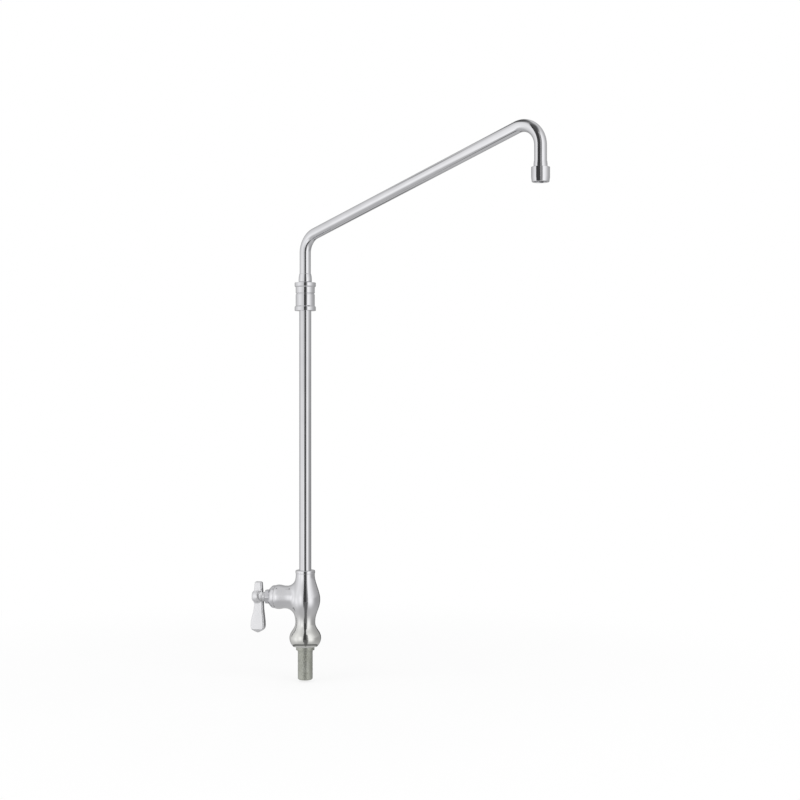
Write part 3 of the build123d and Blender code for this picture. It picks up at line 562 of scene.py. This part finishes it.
def swivelProfiles(s):
    (cupLow, cupHigh), (nutLow, nutHigh) = nodeBox("swivel_body"), nodeBox("swivel_nut")
    base, top, nutBase, nutTop = cupLow[2], cupHigh[2], nutLow[2], nutHigh[2]
    radius, thread, bore, hole = s["radius"], s["threadRadius"], s["boreRadius"], s["tubeHole"]
    flange, flangeRound = s["flangeRadius"], s["flangeRound"]
    slope, groove = flange - radius, radius - s["groove"]
    riserFit, threadFit = riserRadius + s["fit"], thread + s["fit"]
    flangeTop, cupTop, seat = base + s["flangeHeight"], base + s["height"], riserTop + s["seatHeight"]
    cup = roundedProfile([
        (riserFit, base, soft), (flange, base, flangeRound), (flange, flangeTop - slope, flangeRound),
        (radius, flangeTop, s["shoulderRound"]), (radius, cupTop, s["grooveEdge"]), (groove, cupTop, crisp),
        (groove, nutBase, crisp), (thread, nutBase, crisp), (thread, top, soft), (bore, top, small),
        (bore, seat, small), (riserBore, seat, crisp), (riserBore, riserTop, crisp),
        (riserFit, riserTop, crisp)])
    shoulder = nutBase + s["skirt"]
    nut = roundedProfile([
        (threadFit, nutBase, crisp), (radius, nutBase, s["grooveEdge"]),
        (radius, shoulder, s["shoulderRound"]), (flange, shoulder + slope, flangeRound),
        (flange, nutTop, flangeRound), (hole, nutTop, small), (hole, top, crisp), (threadFit, top, crisp)])
    return cup, nut


cup, nut = swivelProfiles(swivel)
turnedPiece("swivelCup", cup, "base", "swivel_body", "polished_chrome", chrome)
turnedPiece("swivelNut", nut, "base", "swivel_nut", "polished_chrome", chrome)

ferrule = dict(
    radius=9.4, bore=8.0, lip=0.3, chin=0.5, swell=0.4, slopes=(0.4, -0.045, -0.25), steps=(14, 24))


def ferruleProfile(s):
    # side: two cubics that meet where it is widest
    low, high = nodeBox("spout_ferrule")
    base, top, radius, bore = low[2], high[2], s["radius"], s["bore"]
    widest, (slope0, slope1, slope2) = between(base, top, s["swell"]), s["slopes"]
    h1, h2 = np.linspace(base, widest, s["steps"][0]), np.linspace(widest, top, s["steps"][1])[1:]
    side = np.vstack([
        np.stack([hermite(h1, base, widest, radius - s["chin"], radius, slope0, slope1), h1], -1),
        np.stack([hermite(h2, widest, top, radius, bore + s["lip"], slope1, slope2), h2], -1)])
    inside = roundedProfile([
        (*side[-1], 0), (bore, top, crisp), (bore, base, crisp), (*side[0], 0)], closed=False)[1:-1]
    return np.vstack([side, inside])


turnedPiece("spoutFerrule", ferruleProfile(ferrule), "spout", "spout_ferrule", "spout_chrome", chrome)
print("riser, swivel and ferrule made")


# Spout tube, bent from one length

spout = dict(
    radius=7.95, wall=1.3, swing=-30.0, lowerCorner=578.4, upperCorner=703.15, bend=28.0, seat=5.0,
    stepDegrees=2.0, longestStep=12.0, segments=96, endRound=0.3)
nippleLow, nippleHigh = nodeBox("outlet_nipple")
outletCentre = tuple((nippleLow[:2] + nippleHigh[:2]) / 2)


def spoutMesh(s):
    start, end, reach = nodeBox("spout_tube")[0][2], nippleLow[2] + s["seat"], math.hypot(*outletCentre)
    # the tube's line in its own upright plane: (distance out, height), with round bends
    corners = np.array([(0, start), (0, s["lowerCorner"]), (reach, s["upperCorner"]), (reach, end)], float)
    pieces = [corners[:1]]
    for here, before, after in zip(corners[1:-1], corners[:-2], corners[2:]):
        back, ahead = unit(before - here), unit(after - here)
        half = math.acos(float(back @ ahead)) / 2
        centre = here + unit(back + ahead) * s["bend"] / math.sin(half)
        t = evenSteps(int((180 - math.degrees(2 * half)) / s["stepDegrees"]) + 2)
        first, last = (unit(here + way * s["bend"] / math.tan(half) - centre)[None] for way in (back, ahead))
        pieces.append(centre + s["bend"] * arcBetween(first, last, t))
    line = np.vstack(pieces + [corners[-1:]])
    # extra stations on the long straight runs, so that no quad is very long
    gaps = np.linalg.norm(np.diff(line, axis=0), axis=1)
    counts = np.maximum(np.ceil(gaps / s["longestStep"]).astype(int), 1)
    stations = np.concatenate([i + np.arange(n) / n for i, n in enumerate(counts)] + [[len(line) - 1.0]])
    line = resampled(line, stations)
    tangent = unit(np.gradient(line, axis=0))
    tangent[0], tangent[-1] = (0, 1), (0, -1)
    length = np.concatenate([[0], np.cumsum(np.linalg.norm(np.diff(line, axis=0), axis=1))])
    # rows of the section: outside from end to end, then back inside, with a small round at both ends
    count, r, inner, edge = len(line), s["radius"], s["radius"] - s["wall"], s["endRound"]
    order = np.concatenate([[0], np.arange(count), [count - 1]])
    shift = np.zeros(count + 2)
    shift[1], shift[count] = edge, -edge
    order, shift = (np.concatenate([rows, rows[::-1]]) for rows in (order, shift))
    outside, inside = np.full(count, r), np.full(count, inner)
    ring = np.concatenate([[r - edge], outside, [r - edge, inner + edge], inside, [inner + edge]])[:, None]
    angle, swing = fullTurn(s["segments"]), math.radians(s["swing"])
    rise, side, shift = ring * np.cos(angle), ring * np.sin(angle), shift[:, None]
    # rise goes across the line in the tube's plane, side out of it
    line, tangent, length = line[order], tangent[order], length[order][:, None]
    centre = line + tangent * shift
    out, height = centre[:, :1] - rise * tangent[:, 1:], centre[:, 1:] + rise * tangent[:, :1]
    x = out * math.cos(swing) - side * math.sin(swing)
    y = out * math.sin(swing) + side * math.cos(swing)
    return np.stack([x, y, height], -1), np.stack([length + shift + 0 * angle, rise, side], -1)


points, straight = spoutMesh(spout)
tube = gridPiece("spoutTube", points, "spout", "spout_tube", "spout_chrome", tubeChrome)
print("spout made:", len(tube.data.vertices), "of", straight.size // 3, "points kept")
unbent = tube.data.attributes.new("straight", "FLOAT_VECTOR", "POINT")
unbent.data.foreach_set("vector", (straight.reshape(-1, 3) * mm).astype(np.float32).ravel())


# Outlet: nipple, stream regulator

outlet = dict(
    neckRadius=8.7, neckStraight=4.0, neckRound=0.8, lip=0.3, tubeHole=8.0, bore=6.65, nippleRadius=10.0,
    nippleLength=9.9, housingRadius=11.7, housingBore=10.05, mouthRadius=8.4, mouthDepth=2.0, taper=0.8,
    taperHeight=5.8, taperRound=1.5, edge=0.6, lipRound=0.9)


def nippleProfile(s):
    base, top, seat = nippleLow[2], nippleHigh[2], nippleLow[2] + spout["seat"]
    neck, hole, shoulder = s["neckRadius"], s["tubeHole"], base + s["nippleLength"]
    return roundedProfile([
        (s["bore"], base, crisp), (s["nippleRadius"], base, small), (s["nippleRadius"], shoulder, small),
        (neck, shoulder, crisp), (neck, shoulder + s["neckStraight"], s["neckRound"]),
        (hole + s["lip"], top, sharp), (hole, top, sharp), (hole, seat, sharp), (s["bore"], seat, sharp)])


def housingProfile(s):
    low, high = nodeBox("regulator_housing")
    base, top, inside = low[2], high[2], low[2] + s["mouthDepth"]
    radius, bore, mouth = s["housingRadius"], s["housingBore"], s["mouthRadius"]
    return roundedProfile([
        (mouth, base, s["lipRound"]), (radius - s["taper"], base, s["edge"]),
        (radius, base + s["taperHeight"], s["taperRound"]), (radius, top, s["edge"]),
        (bore, top, slight), (bore, inside, crisp), (mouth, inside, slight)])


turnedPiece("outletNipple", nippleProfile(outlet), "spout", "outlet_nipple", "spout_chrome", chrome,
            centre=outletCentre)
turnedPiece("regulatorHousing", housingProfile(outlet), "spout", "regulator_housing", "spout_chrome", chrome,
            centre=outletCentre)
print("outlet made")


# Bonnet and packing nut

bonnet = dict(
    radius=16.4, seatDistance=19.0, shoulder=3.6, shoulderDrop=0.5, shoulderRound=3.0, noseRadius=11.2,
    noseRound=0.5, cone=4.6, glandRadius=8.6, bore=4.96, spigotRadius=10.95, spigotRound=0.4,
    seamRound=0.35, lip=0.9, lipRadius=15.4)


def bonnetProfile(s):
    low, high = nodeBox("bonnet")
    inner, end = -high[0], -low[0]
    seat = inner + s["seatDistance"]
    lip, shoulder, nose = seat - s["lip"], seat + s["shoulder"], seat + s["shoulder"] + s["cone"]
    return roundedProfile([
        (s["bore"], inner, small), (s["spigotRadius"], inner, s["spigotRound"]),
        (s["spigotRadius"], seat, crisp), (s["lipRadius"], seat, crisp), (s["lipRadius"], lip, crisp),
        (s["radius"], lip, s["seamRound"]), (s["radius"] - s["shoulderDrop"], shoulder, s["shoulderRound"]),
        (s["noseRadius"], nose, s["noseRound"]), (s["glandRadius"], nose, crisp),
        (s["glandRadius"], end, soft), (s["bore"], end, small)])


turnedPiece("valveBonnet", bonnetProfile(bonnet), "base", "bonnet", "polished_chrome", valveChrome,
            valve=True)

packingNut = dict(
    width=18.8, cornerRound=0.35, crownLength=1.6, crownDrop=0.6, edge=0.35, edgeSlope=1.5, bore=4.96,
    innerRows=(0, 0.4, 5), outerRows=(0.6, 1, 26), segments=192, creaseDegrees=24)


def nutMesh(s):
    low, high = nodeBox("packing_nut")
    start, end, angle = -high[0], -low[0], fullTurn(s["segments"])
    # hexagon: apothem over the cosine of the angle from the nearest flat's middle
    apothem, corner = s["width"] / 2, s["width"] / math.sqrt(3)
    fromFlat = (angle + math.pi / 6) % (math.pi / 3) - math.pi / 6
    flats = np.minimum(apothem / np.cos(fromFlat), corner - s["cornerRound"])
    rows = np.concatenate([np.linspace(*s[part]) for part in ("innerRows", "outerRows")])
    d = between(start, end, rows[:, None])
    # crown: a cone on the outer end, and a small break on the inner one
    crown = apothem - s["crownDrop"] + (end - d) * (corner - apothem + s["crownDrop"]) / s["crownLength"]
    breakEdge = corner - s["edge"] + (d - start) * s["edgeSlope"]
    r = np.minimum(np.minimum(flats, crown), breakEdge)
    hole = np.full((2, s["segments"]), s["bore"])
    return onValve(np.vstack([r, hole]), np.vstack([d, [[end], [start]]]), angle)


nutPiece = gridPiece("packingNut", nutMesh(packingNut), "base", "packing_nut", "polished_chrome", nutPaintedShadeChrome)
nutPiece.data.set_sharp_from_angle(angle=math.radians(packingNut["creaseDegrees"]))
print("bonnet and packing nut made")


# Lever handle: hub, paddle and nub in one casting, drawn as one surface round its upright middle line

lever = dict(
    distance=67.85, neckWidth=13.2, neckDrop=12.0, endWidth=20.0, sweep=1.3, flareBy=0.84, length=51.9,
    pointHeight=5.6, pointRound=1.6, pointEase=0.4, cornerRound=4.6, neckThickness=9.6, endThickness=12.6,
    tipThickness=7.6, bevel=0.9, edgeRound=1.1, paddleTop=3.0, paddleTopRound=1.0,
    hubRadius=9.5, hubDistance=69.9, bossRadius=6.0, bossLength=11.0, bossRound=0.8, bossBlend=1.0,
    hubFlat=77.25, hubFlatRound=0.5, hubBlend=1.8,
    nubDistance=68.3, nubHeight=21.2, nubBaseWidth=13.4, nubTopWidth=10.6, nubBaseThickness=9.6,
    nubTopThickness=8.2, nubRound=2.4, nubTopRound=2.6, nubFootRound=0.5, nubBlend=0.6,
    segments=176, rowStep=0.36, capRows=26, topInset=4.0, farthest=30.0, halvings=34, slopeStep=0.02)


def softMax(a, b, k):
    # larger of two distances, with a round of size k where they meet
    h = np.maximum(k - np.abs(a - b), 0) / k
    return np.maximum(a, b) + h * h * k / 4


def softMin(a, b, k):
    return -softMax(-a, -b, k)


def ease(t):
    t = np.clip(t, 0, 1)
    return t * t * (3 - 2 * t)


def paddleLine(w, s):
    # share of the way down the paddle, how far it has flared, and its middle's distance from the column
    share = (-w - s["neckDrop"]) / (s["length"] - s["pointHeight"] - s["neckDrop"])
    flare = ease(share / s["flareBy"])
    return share, flare, s["distance"] + s["sweep"] * flare


def leverField(d, y, w, s):
    # distance outside the handle, roughly: d outward from the column, y across, w above the valve's line
    share, flare, middle = paddleLine(w, s)
    halfWidth, halfEnd = between(s["neckWidth"], s["endWidth"], flare) / 2, s["endWidth"] / 2
    tip = np.clip((-w - s["length"] + s["pointHeight"]) / s["pointHeight"], 0, None)
    thickness = between(s["neckThickness"], s["endThickness"], np.clip(share, 0, 1))
    thickness = thickness + tip * (s["tipThickness"] - s["endThickness"])
    off = np.abs(d - middle)
    side, front = off - halfWidth, np.abs(y) - thickness / 2
    offRound = np.hypot(off, s["pointRound"]) - s["pointEase"] * s["pointRound"]
    point = offRound * s["pointHeight"] + (-w - s["length"]) * halfEnd
    point = point / math.hypot(s["pointHeight"], halfEnd)
    paddle = softMax(softMax(side, point, s["cornerRound"]), front, s["edgeRound"])
    for face in (side, point):
        paddle = softMax(paddle, (face + front + s["bevel"]) / math.sqrt(2), s["edgeRound"])
    paddle = softMax(paddle, w - s["paddleTop"], s["paddleTopRound"])

    rise = np.clip(w / s["nubHeight"], 0, 1)
    a = between(s["nubBaseWidth"], s["nubTopWidth"], rise) / 2 - s["nubRound"]
    b = between(s["nubBaseThickness"], s["nubTopThickness"], rise) / 2 - s["nubRound"]
    qa, qb = np.abs(d - s["nubDistance"]) - a, np.abs(y) - b
    nub = np.hypot(np.maximum(qa, 0), np.maximum(qb, 0)) + np.minimum(np.maximum(qa, qb), 0) - s["nubRound"]
    nub = softMax(softMax(nub, w - s["nubHeight"], s["nubTopRound"]), -w, s["nubFootRound"])

    ball = np.sqrt((d - s["hubDistance"])**2 + y**2 + w**2) - s["hubRadius"]
    boss = softMax(np.hypot(y, w) - s["bossRadius"], s["hubDistance"] - s["bossLength"] - d, s["bossRound"])
    boss = np.maximum(boss, d - s["hubDistance"])
    hub = softMax(softMin(ball, boss, s["bossBlend"]), d - s["hubFlat"], s["hubFlatRound"])
    return softMin(softMin(paddle, nub, s["nubBlend"]), hub, s["hubBlend"])


def handleMesh(s):
    # rays leave the middle line level, and fan up at the nub's top and down at the paddle's point;
    # where each meets the surface is found by halving
    topStart, lowEnd = s["nubHeight"] - s["topInset"], s["pointHeight"] - s["length"]
    w = np.linspace(topStart, lowEnd, int((topStart - lowEnd) / s["rowStep"]))
    fan = np.linspace(0, math.pi / 2, s["capRows"] + 1)[1:]
    origin = np.concatenate([np.full(s["capRows"], topStart), w, np.full(s["capRows"], lowEnd)])[:, None]
    rise = np.concatenate([fan[::-1], np.zeros(len(w)), -fan])[:, None]
    middle, angle = paddleLine(origin, s)[2], fullTurn(s["segments"])
    dd, dy, dw = np.cos(rise) * np.cos(angle), np.cos(rise) * np.sin(angle), np.sin(rise) + 0 * angle
    near, far = np.zeros(dd.shape), np.full(dd.shape, s["farthest"])
    for _ in range(s["halvings"]):
        t = (near + far) / 2
        inside = leverField(middle + t * dd, t * dy, origin + t * dw, s) < 0
        near, far = np.where(inside, t, near), np.where(inside, far, t)
    return np.stack([-(middle + t * dd), t * dy, valveHeight + origin + t * dw], -1)


def handleNormals(mesh, s):
    # slope of the field at each corner point, by central differences
    place = np.empty(len(mesh.vertices) * 3)
    mesh.vertices.foreach_get("co", place)
    x, y, z = place.reshape(-1, 3).T / mm
    d, w = -x, z - valveHeight
    slopes = [
        leverField(d + a, y + b, w + c, s) - leverField(d - a, y - b, w - c, s)
        for a, b, c in s["slopeStep"] * np.eye(3)]
    return unit(np.stack([-slopes[0], slopes[1], slopes[2]], -1))


handle = gridPiece(
    "leverHandle", handleMesh(lever), "valve_handle", "handle", "handle_chrome", handlePaintedLightChrome, closed=False)
handle.data.normals_split_custom_set_from_vertices(handleNormals(handle.data, lever).tolist())

cap = dict(dome=0.9, edge=0.25, steps=10, outward=0.85)


def capProfile(s):
    low, high = nodeBox("handle_cap")
    radius, base, top = (high[1] - low[1]) / 2, s["outward"] - high[0], s["outward"] - low[0]
    # dome: part of a ball, whose radius comes from the dome's own radius and height
    ballRadius = (radius**2 + s["dome"]**2) / (2 * s["dome"])
    r = np.linspace(0, radius - s["edge"], s["steps"])
    dome = np.stack([r, top - ballRadius + np.sqrt(ballRadius**2 - r**2)], -1)
    side = roundedProfile([
        (*dome[-1], 0), (radius, top - s["dome"], s["edge"]), (radius, base, crisp), (0, base, 0)],
        closed=False)[1:]
    return np.vstack([dome, side])


turnedPiece("handleCap", capProfile(cap), "valve_handle", "handle_cap", "handle_chrome", valveChrome,
            closed=False, valve=True)
print("handle made")


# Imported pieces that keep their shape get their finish

keptNodes = {
    "upper_thrust_washer": whitePlastic, "bonnet_gasket": fibre,
    "stem_packing": whitePlastic, "gland_follower": brass, "cartridge_sleeve": steel, "fixed_disc": ceramic,
    "seat_seal": rubber, "spout_foot": brass, "swivel_o_rings": rubber, "regulator_washer": rubber,
    "flow_insert": greyPlastic, "spindle": brass, "spindle_o_rings": rubber, "moving_disc": ceramic,
    "handle_screw": steel}
for name, material in keptNodes.items():
    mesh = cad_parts[name].data
    mesh.materials.clear()
    mesh.materials.append(material)
print("kept nodes dressed:", len(keptNodes))


# Studio: pale floor, white surround, and a lit shell with cards that only the chrome sees

floorLook = dict(
    height=-0.0502, size=12.0, light=(0.86, 0.86, 0.86), dark=(0.83, 0.83, 0.83), cloudScale=3.0,
    roughness=0.9, specular=0.2, white=(0.8, 1.0), whiteFrom=0.25, whiteBy=0.9)
surroundLight = 0.85
lamps = dict(
    power=9.0, size=1.2, aim=(0.1, -0.05, 0.3),
    places=dict(leftLamp=(-1.0, -1.1, 1.6), rightLamp=(1.3, -0.9, 1.4)))
cameraView = dict(
    azimuth=10.5, distance=2.1, right=0.13452, height=0.3493, focal=1479.0, imageWidth=800, sensor=36.0,
    clipStart=0.05)

# glow of the shell by heading, in degrees right of the camera: low down, and from the camera's height up
shell = dict(
    radius=3.0, centreHeight=0.35, columns=240, rows=120, steepest=89.5,
    heading=(-180, -140, -118, -91, -70, -47, -25, -5, 20, 32, 48, 60, 72, 85, 105, 135, 180),
    lowGlow=(.44, .56, .85, 1.02, 1.32, 1.06, .84, .84, 1.0, 1.35, 1.40, 1.12, .76, .53, .46, .42, .44),
    highGlow=(.48, .58, .85, 1.0, 1.20, 1.10, .90, .90, 1.1, 1.38, 1.32, 1.12, .95, .72, .58, .48, .48),
    lowToHigh=(-4.0, 5.0), overhead=(0.84, 20.0, 80.0), underfoot=(0.64, 13.0, 52.0))

# each upright card runs between two ends (right, towards the camera) and two heights, in metres;
# its glow is given at the foot and at the top, and its edges fade over a share of its width and height
uprightCards = dict(
    slotCard=dict(
        ends=((-0.112, 0.481), (0.232, 0.895)), heights=(-0.4, 1.8), glow=(.07, .07), fade=(.05, .1)),
    slotBehind=dict(ends=((0.08, 2.0), (0.98, 2.0)), heights=(-0.6, 2.4), glow=(.38, .38), fade=(.12, .1)),
    leftCard=dict(
        ends=((-0.60, 0.40), (-0.14, 0.69)), heights=(-0.38, 0.50), glow=(1.2, 1.55), fade=(.5, .45)),
    leverShade=dict(
        ends=((-0.02, -0.505), (0.32, -0.385)), heights=(-0.2, 0.28), glow=(.06, .06), fade=(.4, .4)))
# each level card has its middle (right, towards the camera, up) and its width and depth
levelCards = dict(
    bendShade=dict(middle=(0.165, 0.07, 0.98), size=(0.35, 0.56), glow=.12, fade=(.3, .25)),
    slopeShade=dict(middle=(-0.45, -0.12, 1.16), size=(0.42, 0.45), glow=.30, fade=(.45, .45)),
    bendFront=dict(middle=(0.285, 0.325, 0.80), size=(0.20, 0.20), glow=.12, fade=(.4, .4)))
# fans on the floor: from one heading to another and from one reach to another, about a middle
fans = dict(
    slotFoot=dict(
        middle=(0.002, 0.016, -0.046), headings=(-16, 32), reach=(0.004, 0.52), glow=.17, fade=(.3, .05)),
    footRing=dict(
        middle=(0, 0, -0.012), headings=(-180, 180), reach=(0.0235, 0.038), glow=.17, fade=(.01, .4)))
cardSteps, fanSteps = 31, 61  # rows of points in a card or fan, and columns of a fan


def glowFinish(name):
    # light as strong as the sheet's glow, thinning out to nothing where its cover ends
    material, tree = newMaterial(name)
    glow, cover = (attributeNode(tree, attribute).outputs["Fac"] for attribute in ("glow", "cover"))
    clear = newNode(tree, "BsdfTransparent").outputs["BSDF"]
    light = newNode(tree, "Emission", {"Strength": glow}).outputs["Emission"]
    newNode(tree, "OutputMaterial", {"Surface": mixShaders(tree, cover, clear, light)})
    material.cycles.emission_sampling = "NONE"  # only mirror rays meet these sheets
    return material


def addLitSheet(name, points, glow, cover, material, closed=False):
    mesh = newMesh(name, points, gridFaces(*glow.shape, closedColumns=closed), material)
    for attribute, values in (("glow", glow), ("cover", cover)):
        data = mesh.attributes.new(attribute, "FLOAT", "POINT").data
        data.foreach_set("value", values.ravel().astype(np.float32))
    sheet = newObject(name, mesh)
    sheet.visible_camera = sheet.visible_diffuse = False
    sheet.visible_shadow = sheet.visible_transmission = False


turn = math.radians(cameraView["azimuth"])
rightWay = np.array([math.cos(turn), math.sin(turn), 0])
nearWay = np.array([math.sin(turn), -math.cos(turn), 0])
upWay = np.array([0, 0, 1.0])


def inView(right, towards, up):
    # places, in metres, given to the camera's right, towards it and up
    ways = ((right, rightWay), (towards, nearWay), (up, upWay))
    return sum(np.multiply.outer(far, way) for far, way in ways)


def stepped(value, first, last):
    return ease((value - first) / (last - first))


def shellSheet(s):
    # sphere in headings and heights, in degrees; its glow blends from the low to the high row over
    # some heights, then to one value overhead and one underfoot, each over its own
    heading = np.linspace(-180, 180, s["columns"], endpoint=False)[None, :]
    rise = np.linspace(-s["steepest"], s["steepest"], s["rows"])[:, None]
    low, high = (np.interp(heading, s["heading"], s[row]) for row in ("lowGlow", "highGlow"))
    glow = between(low, high, stepped(rise, *s["lowToHigh"]))
    for height, (beyond, first, last) in ((rise, s["overhead"]), (-rise, s["underfoot"])):
        glow = between(glow, beyond, stepped(height, first, last))
    h, e = np.radians(heading), np.radians(rise)
    outward = inView(np.cos(e) * np.sin(h), np.cos(e) * np.cos(h), np.sin(e))
    return s["radius"] * outward + upWay * s["centreHeight"], glow


def fadeCover(u, v, fade):
    # cover rises from 0 at each edge to 1 over the share of the width or height given
    return ease(np.minimum(u, 1 - u) / fade[0]) * ease(np.minimum(v, 1 - v) / fade[1])


def uprightSheet(c, u, v):
    right, towards = zip(*c["ends"])
    points = inView(between(*right, u), between(*towards, u), between(*c["heights"], v))
    return points, between(*c["glow"], v) + 0 * u


def levelSheet(c, u, v):
    (right, towards, up), (width, depth) = c["middle"], c["size"]
    return inView(right + (u - 0.5) * width, towards + (v - 0.5) * depth, up), c["glow"] + 0 * (u + v)


def fanSheet(c, u, v):
    right, towards, up = c["middle"]
    h, r = np.radians(between(*c["headings"], u)), between(*c["reach"], v)
    return inView(right + r * np.sin(h), towards + r * np.cos(h), up), c["glow"] + 0 * (u + v)


litFinish = glowFinish("studioLight")
points, glow = shellSheet(shell)
addLitSheet("studioShell", points, glow, np.ones(glow.shape), litFinish, closed=True)
for group, makeSheet, columns in (
        (uprightCards, uprightSheet, cardSteps), (levelCards, levelSheet, cardSteps),
        (fans, fanSheet, fanSteps)):
    u, v = evenSteps(columns).T, evenSteps(cardSteps)
    for name, c in group.items():
        points, glow = makeSheet(c, u, v)
        addLitSheet(name, points, glow, fadeCover(u, v, c["fade"]), litFinish)


def mathNode(tree, operation, first, second):
    node = newNode(tree, "Math")
    node.operation = operation
    return feed(tree, node, {0: first, 1: second}).outputs[0]


def plainWhiteShare(tree, cameraShare):
    # share of plain white: what is given, a value or a node's, for camera rays, and all of it for
    # mirror and glass rays
    path = newNode(tree, "LightPath")
    seen = mathNode(tree, "MULTIPLY", path.outputs["Is Camera Ray"], cameraShare)
    either = mathNode(tree, "MAXIMUM", path.outputs["Is Glossy Ray"], path.outputs["Is Transmission Ray"])
    return mathNode(tree, "MAXIMUM", seen, either)


def floorFinish(name, s):
    # pale near the tap, and white farther out
    material, tree = newMaterial(name)
    cloud = noise(tree, patternCoords(tree), s["cloudScale"], softDetail)
    pale = newNode(tree, "BsdfPrincipled", {
        "Base Color": twoTone(tree, cloud, s), "Roughness": s["roughness"],
        "Specular IOR Level": s["specular"]}).outputs["BSDF"]
    white = newNode(tree, "Emission", {"Strength": 1.0}).outputs["Emission"]
    reach = newNode(tree, "VectorMath")
    reach.operation = "LENGTH"
    feed(tree, reach, {0: patternCoords(tree, (1, 1, 0))})
    whiter = mapped(tree, reach.outputs["Value"], s["whiteFrom"], s["whiteBy"],
                    *s["white"], "SMOOTHSTEP")
    surface = mixShaders(tree, plainWhiteShare(tree, whiter), pale, white)
    newNode(tree, "OutputMaterial", {"Surface": surface})
    return material


half, z = floorLook["size"] / 2, floorLook["height"]
corners = np.array([(-half, -half, z), (half, -half, z), (half, half, z), (-half, half, z)])
floorFaces = np.array([(0, 1, 2, 3)])
floor = newObject("floor", newMesh("floor", corners, floorFaces, floorFinish("paleFloor", floorLook)))
floor.visible_glossy = False  # mirror rays meet the shell instead, which is darker below

world = bpy.data.worlds.new("studio")
bpy.context.scene.world = world
tree = clearedTree(world)
lighting, seenWhite = (
    newNode(tree, "Background", {"Color": (1, 1, 1, 1), "Strength": strength}).outputs["Background"]
    for strength in (surroundLight, 1.0))
newNode(tree, "OutputWorld", {"Surface": mixShaders(tree, plainWhiteShare(tree, 1.0), lighting, seenWhite)})

for name, place in lamps["places"].items():
    light = bpy.data.lights.new(name, "AREA")
    light.energy, light.size = lamps["power"], lamps["size"]
    lamp = newObject(name, light)
    lamp.location = place
    aim = np.array(lamps["aim"]) - np.array(place)
    lamp.rotation_euler = (math.atan2(math.hypot(aim[0], aim[1]), -aim[2]), 0, math.atan2(-aim[0], aim[1]))
    lamp.visible_glossy = False

camera = bpy.data.cameras.new("photoCamera")
camera.sensor_width = cameraView["sensor"]
camera.lens = cameraView["focal"] / cameraView["imageWidth"] * cameraView["sensor"]
camera.clip_start = cameraView["clipStart"]
cameraObject = newObject("photoCamera", camera)
cameraObject.location = inView(cameraView["right"], cameraView["distance"], cameraView["height"])
cameraObject.rotation_euler = (math.pi / 2, 0, turn)
bpy.context.scene.camera = cameraObject
bpy.context.scene.view_settings.view_transform = "Standard"
print("studio made")
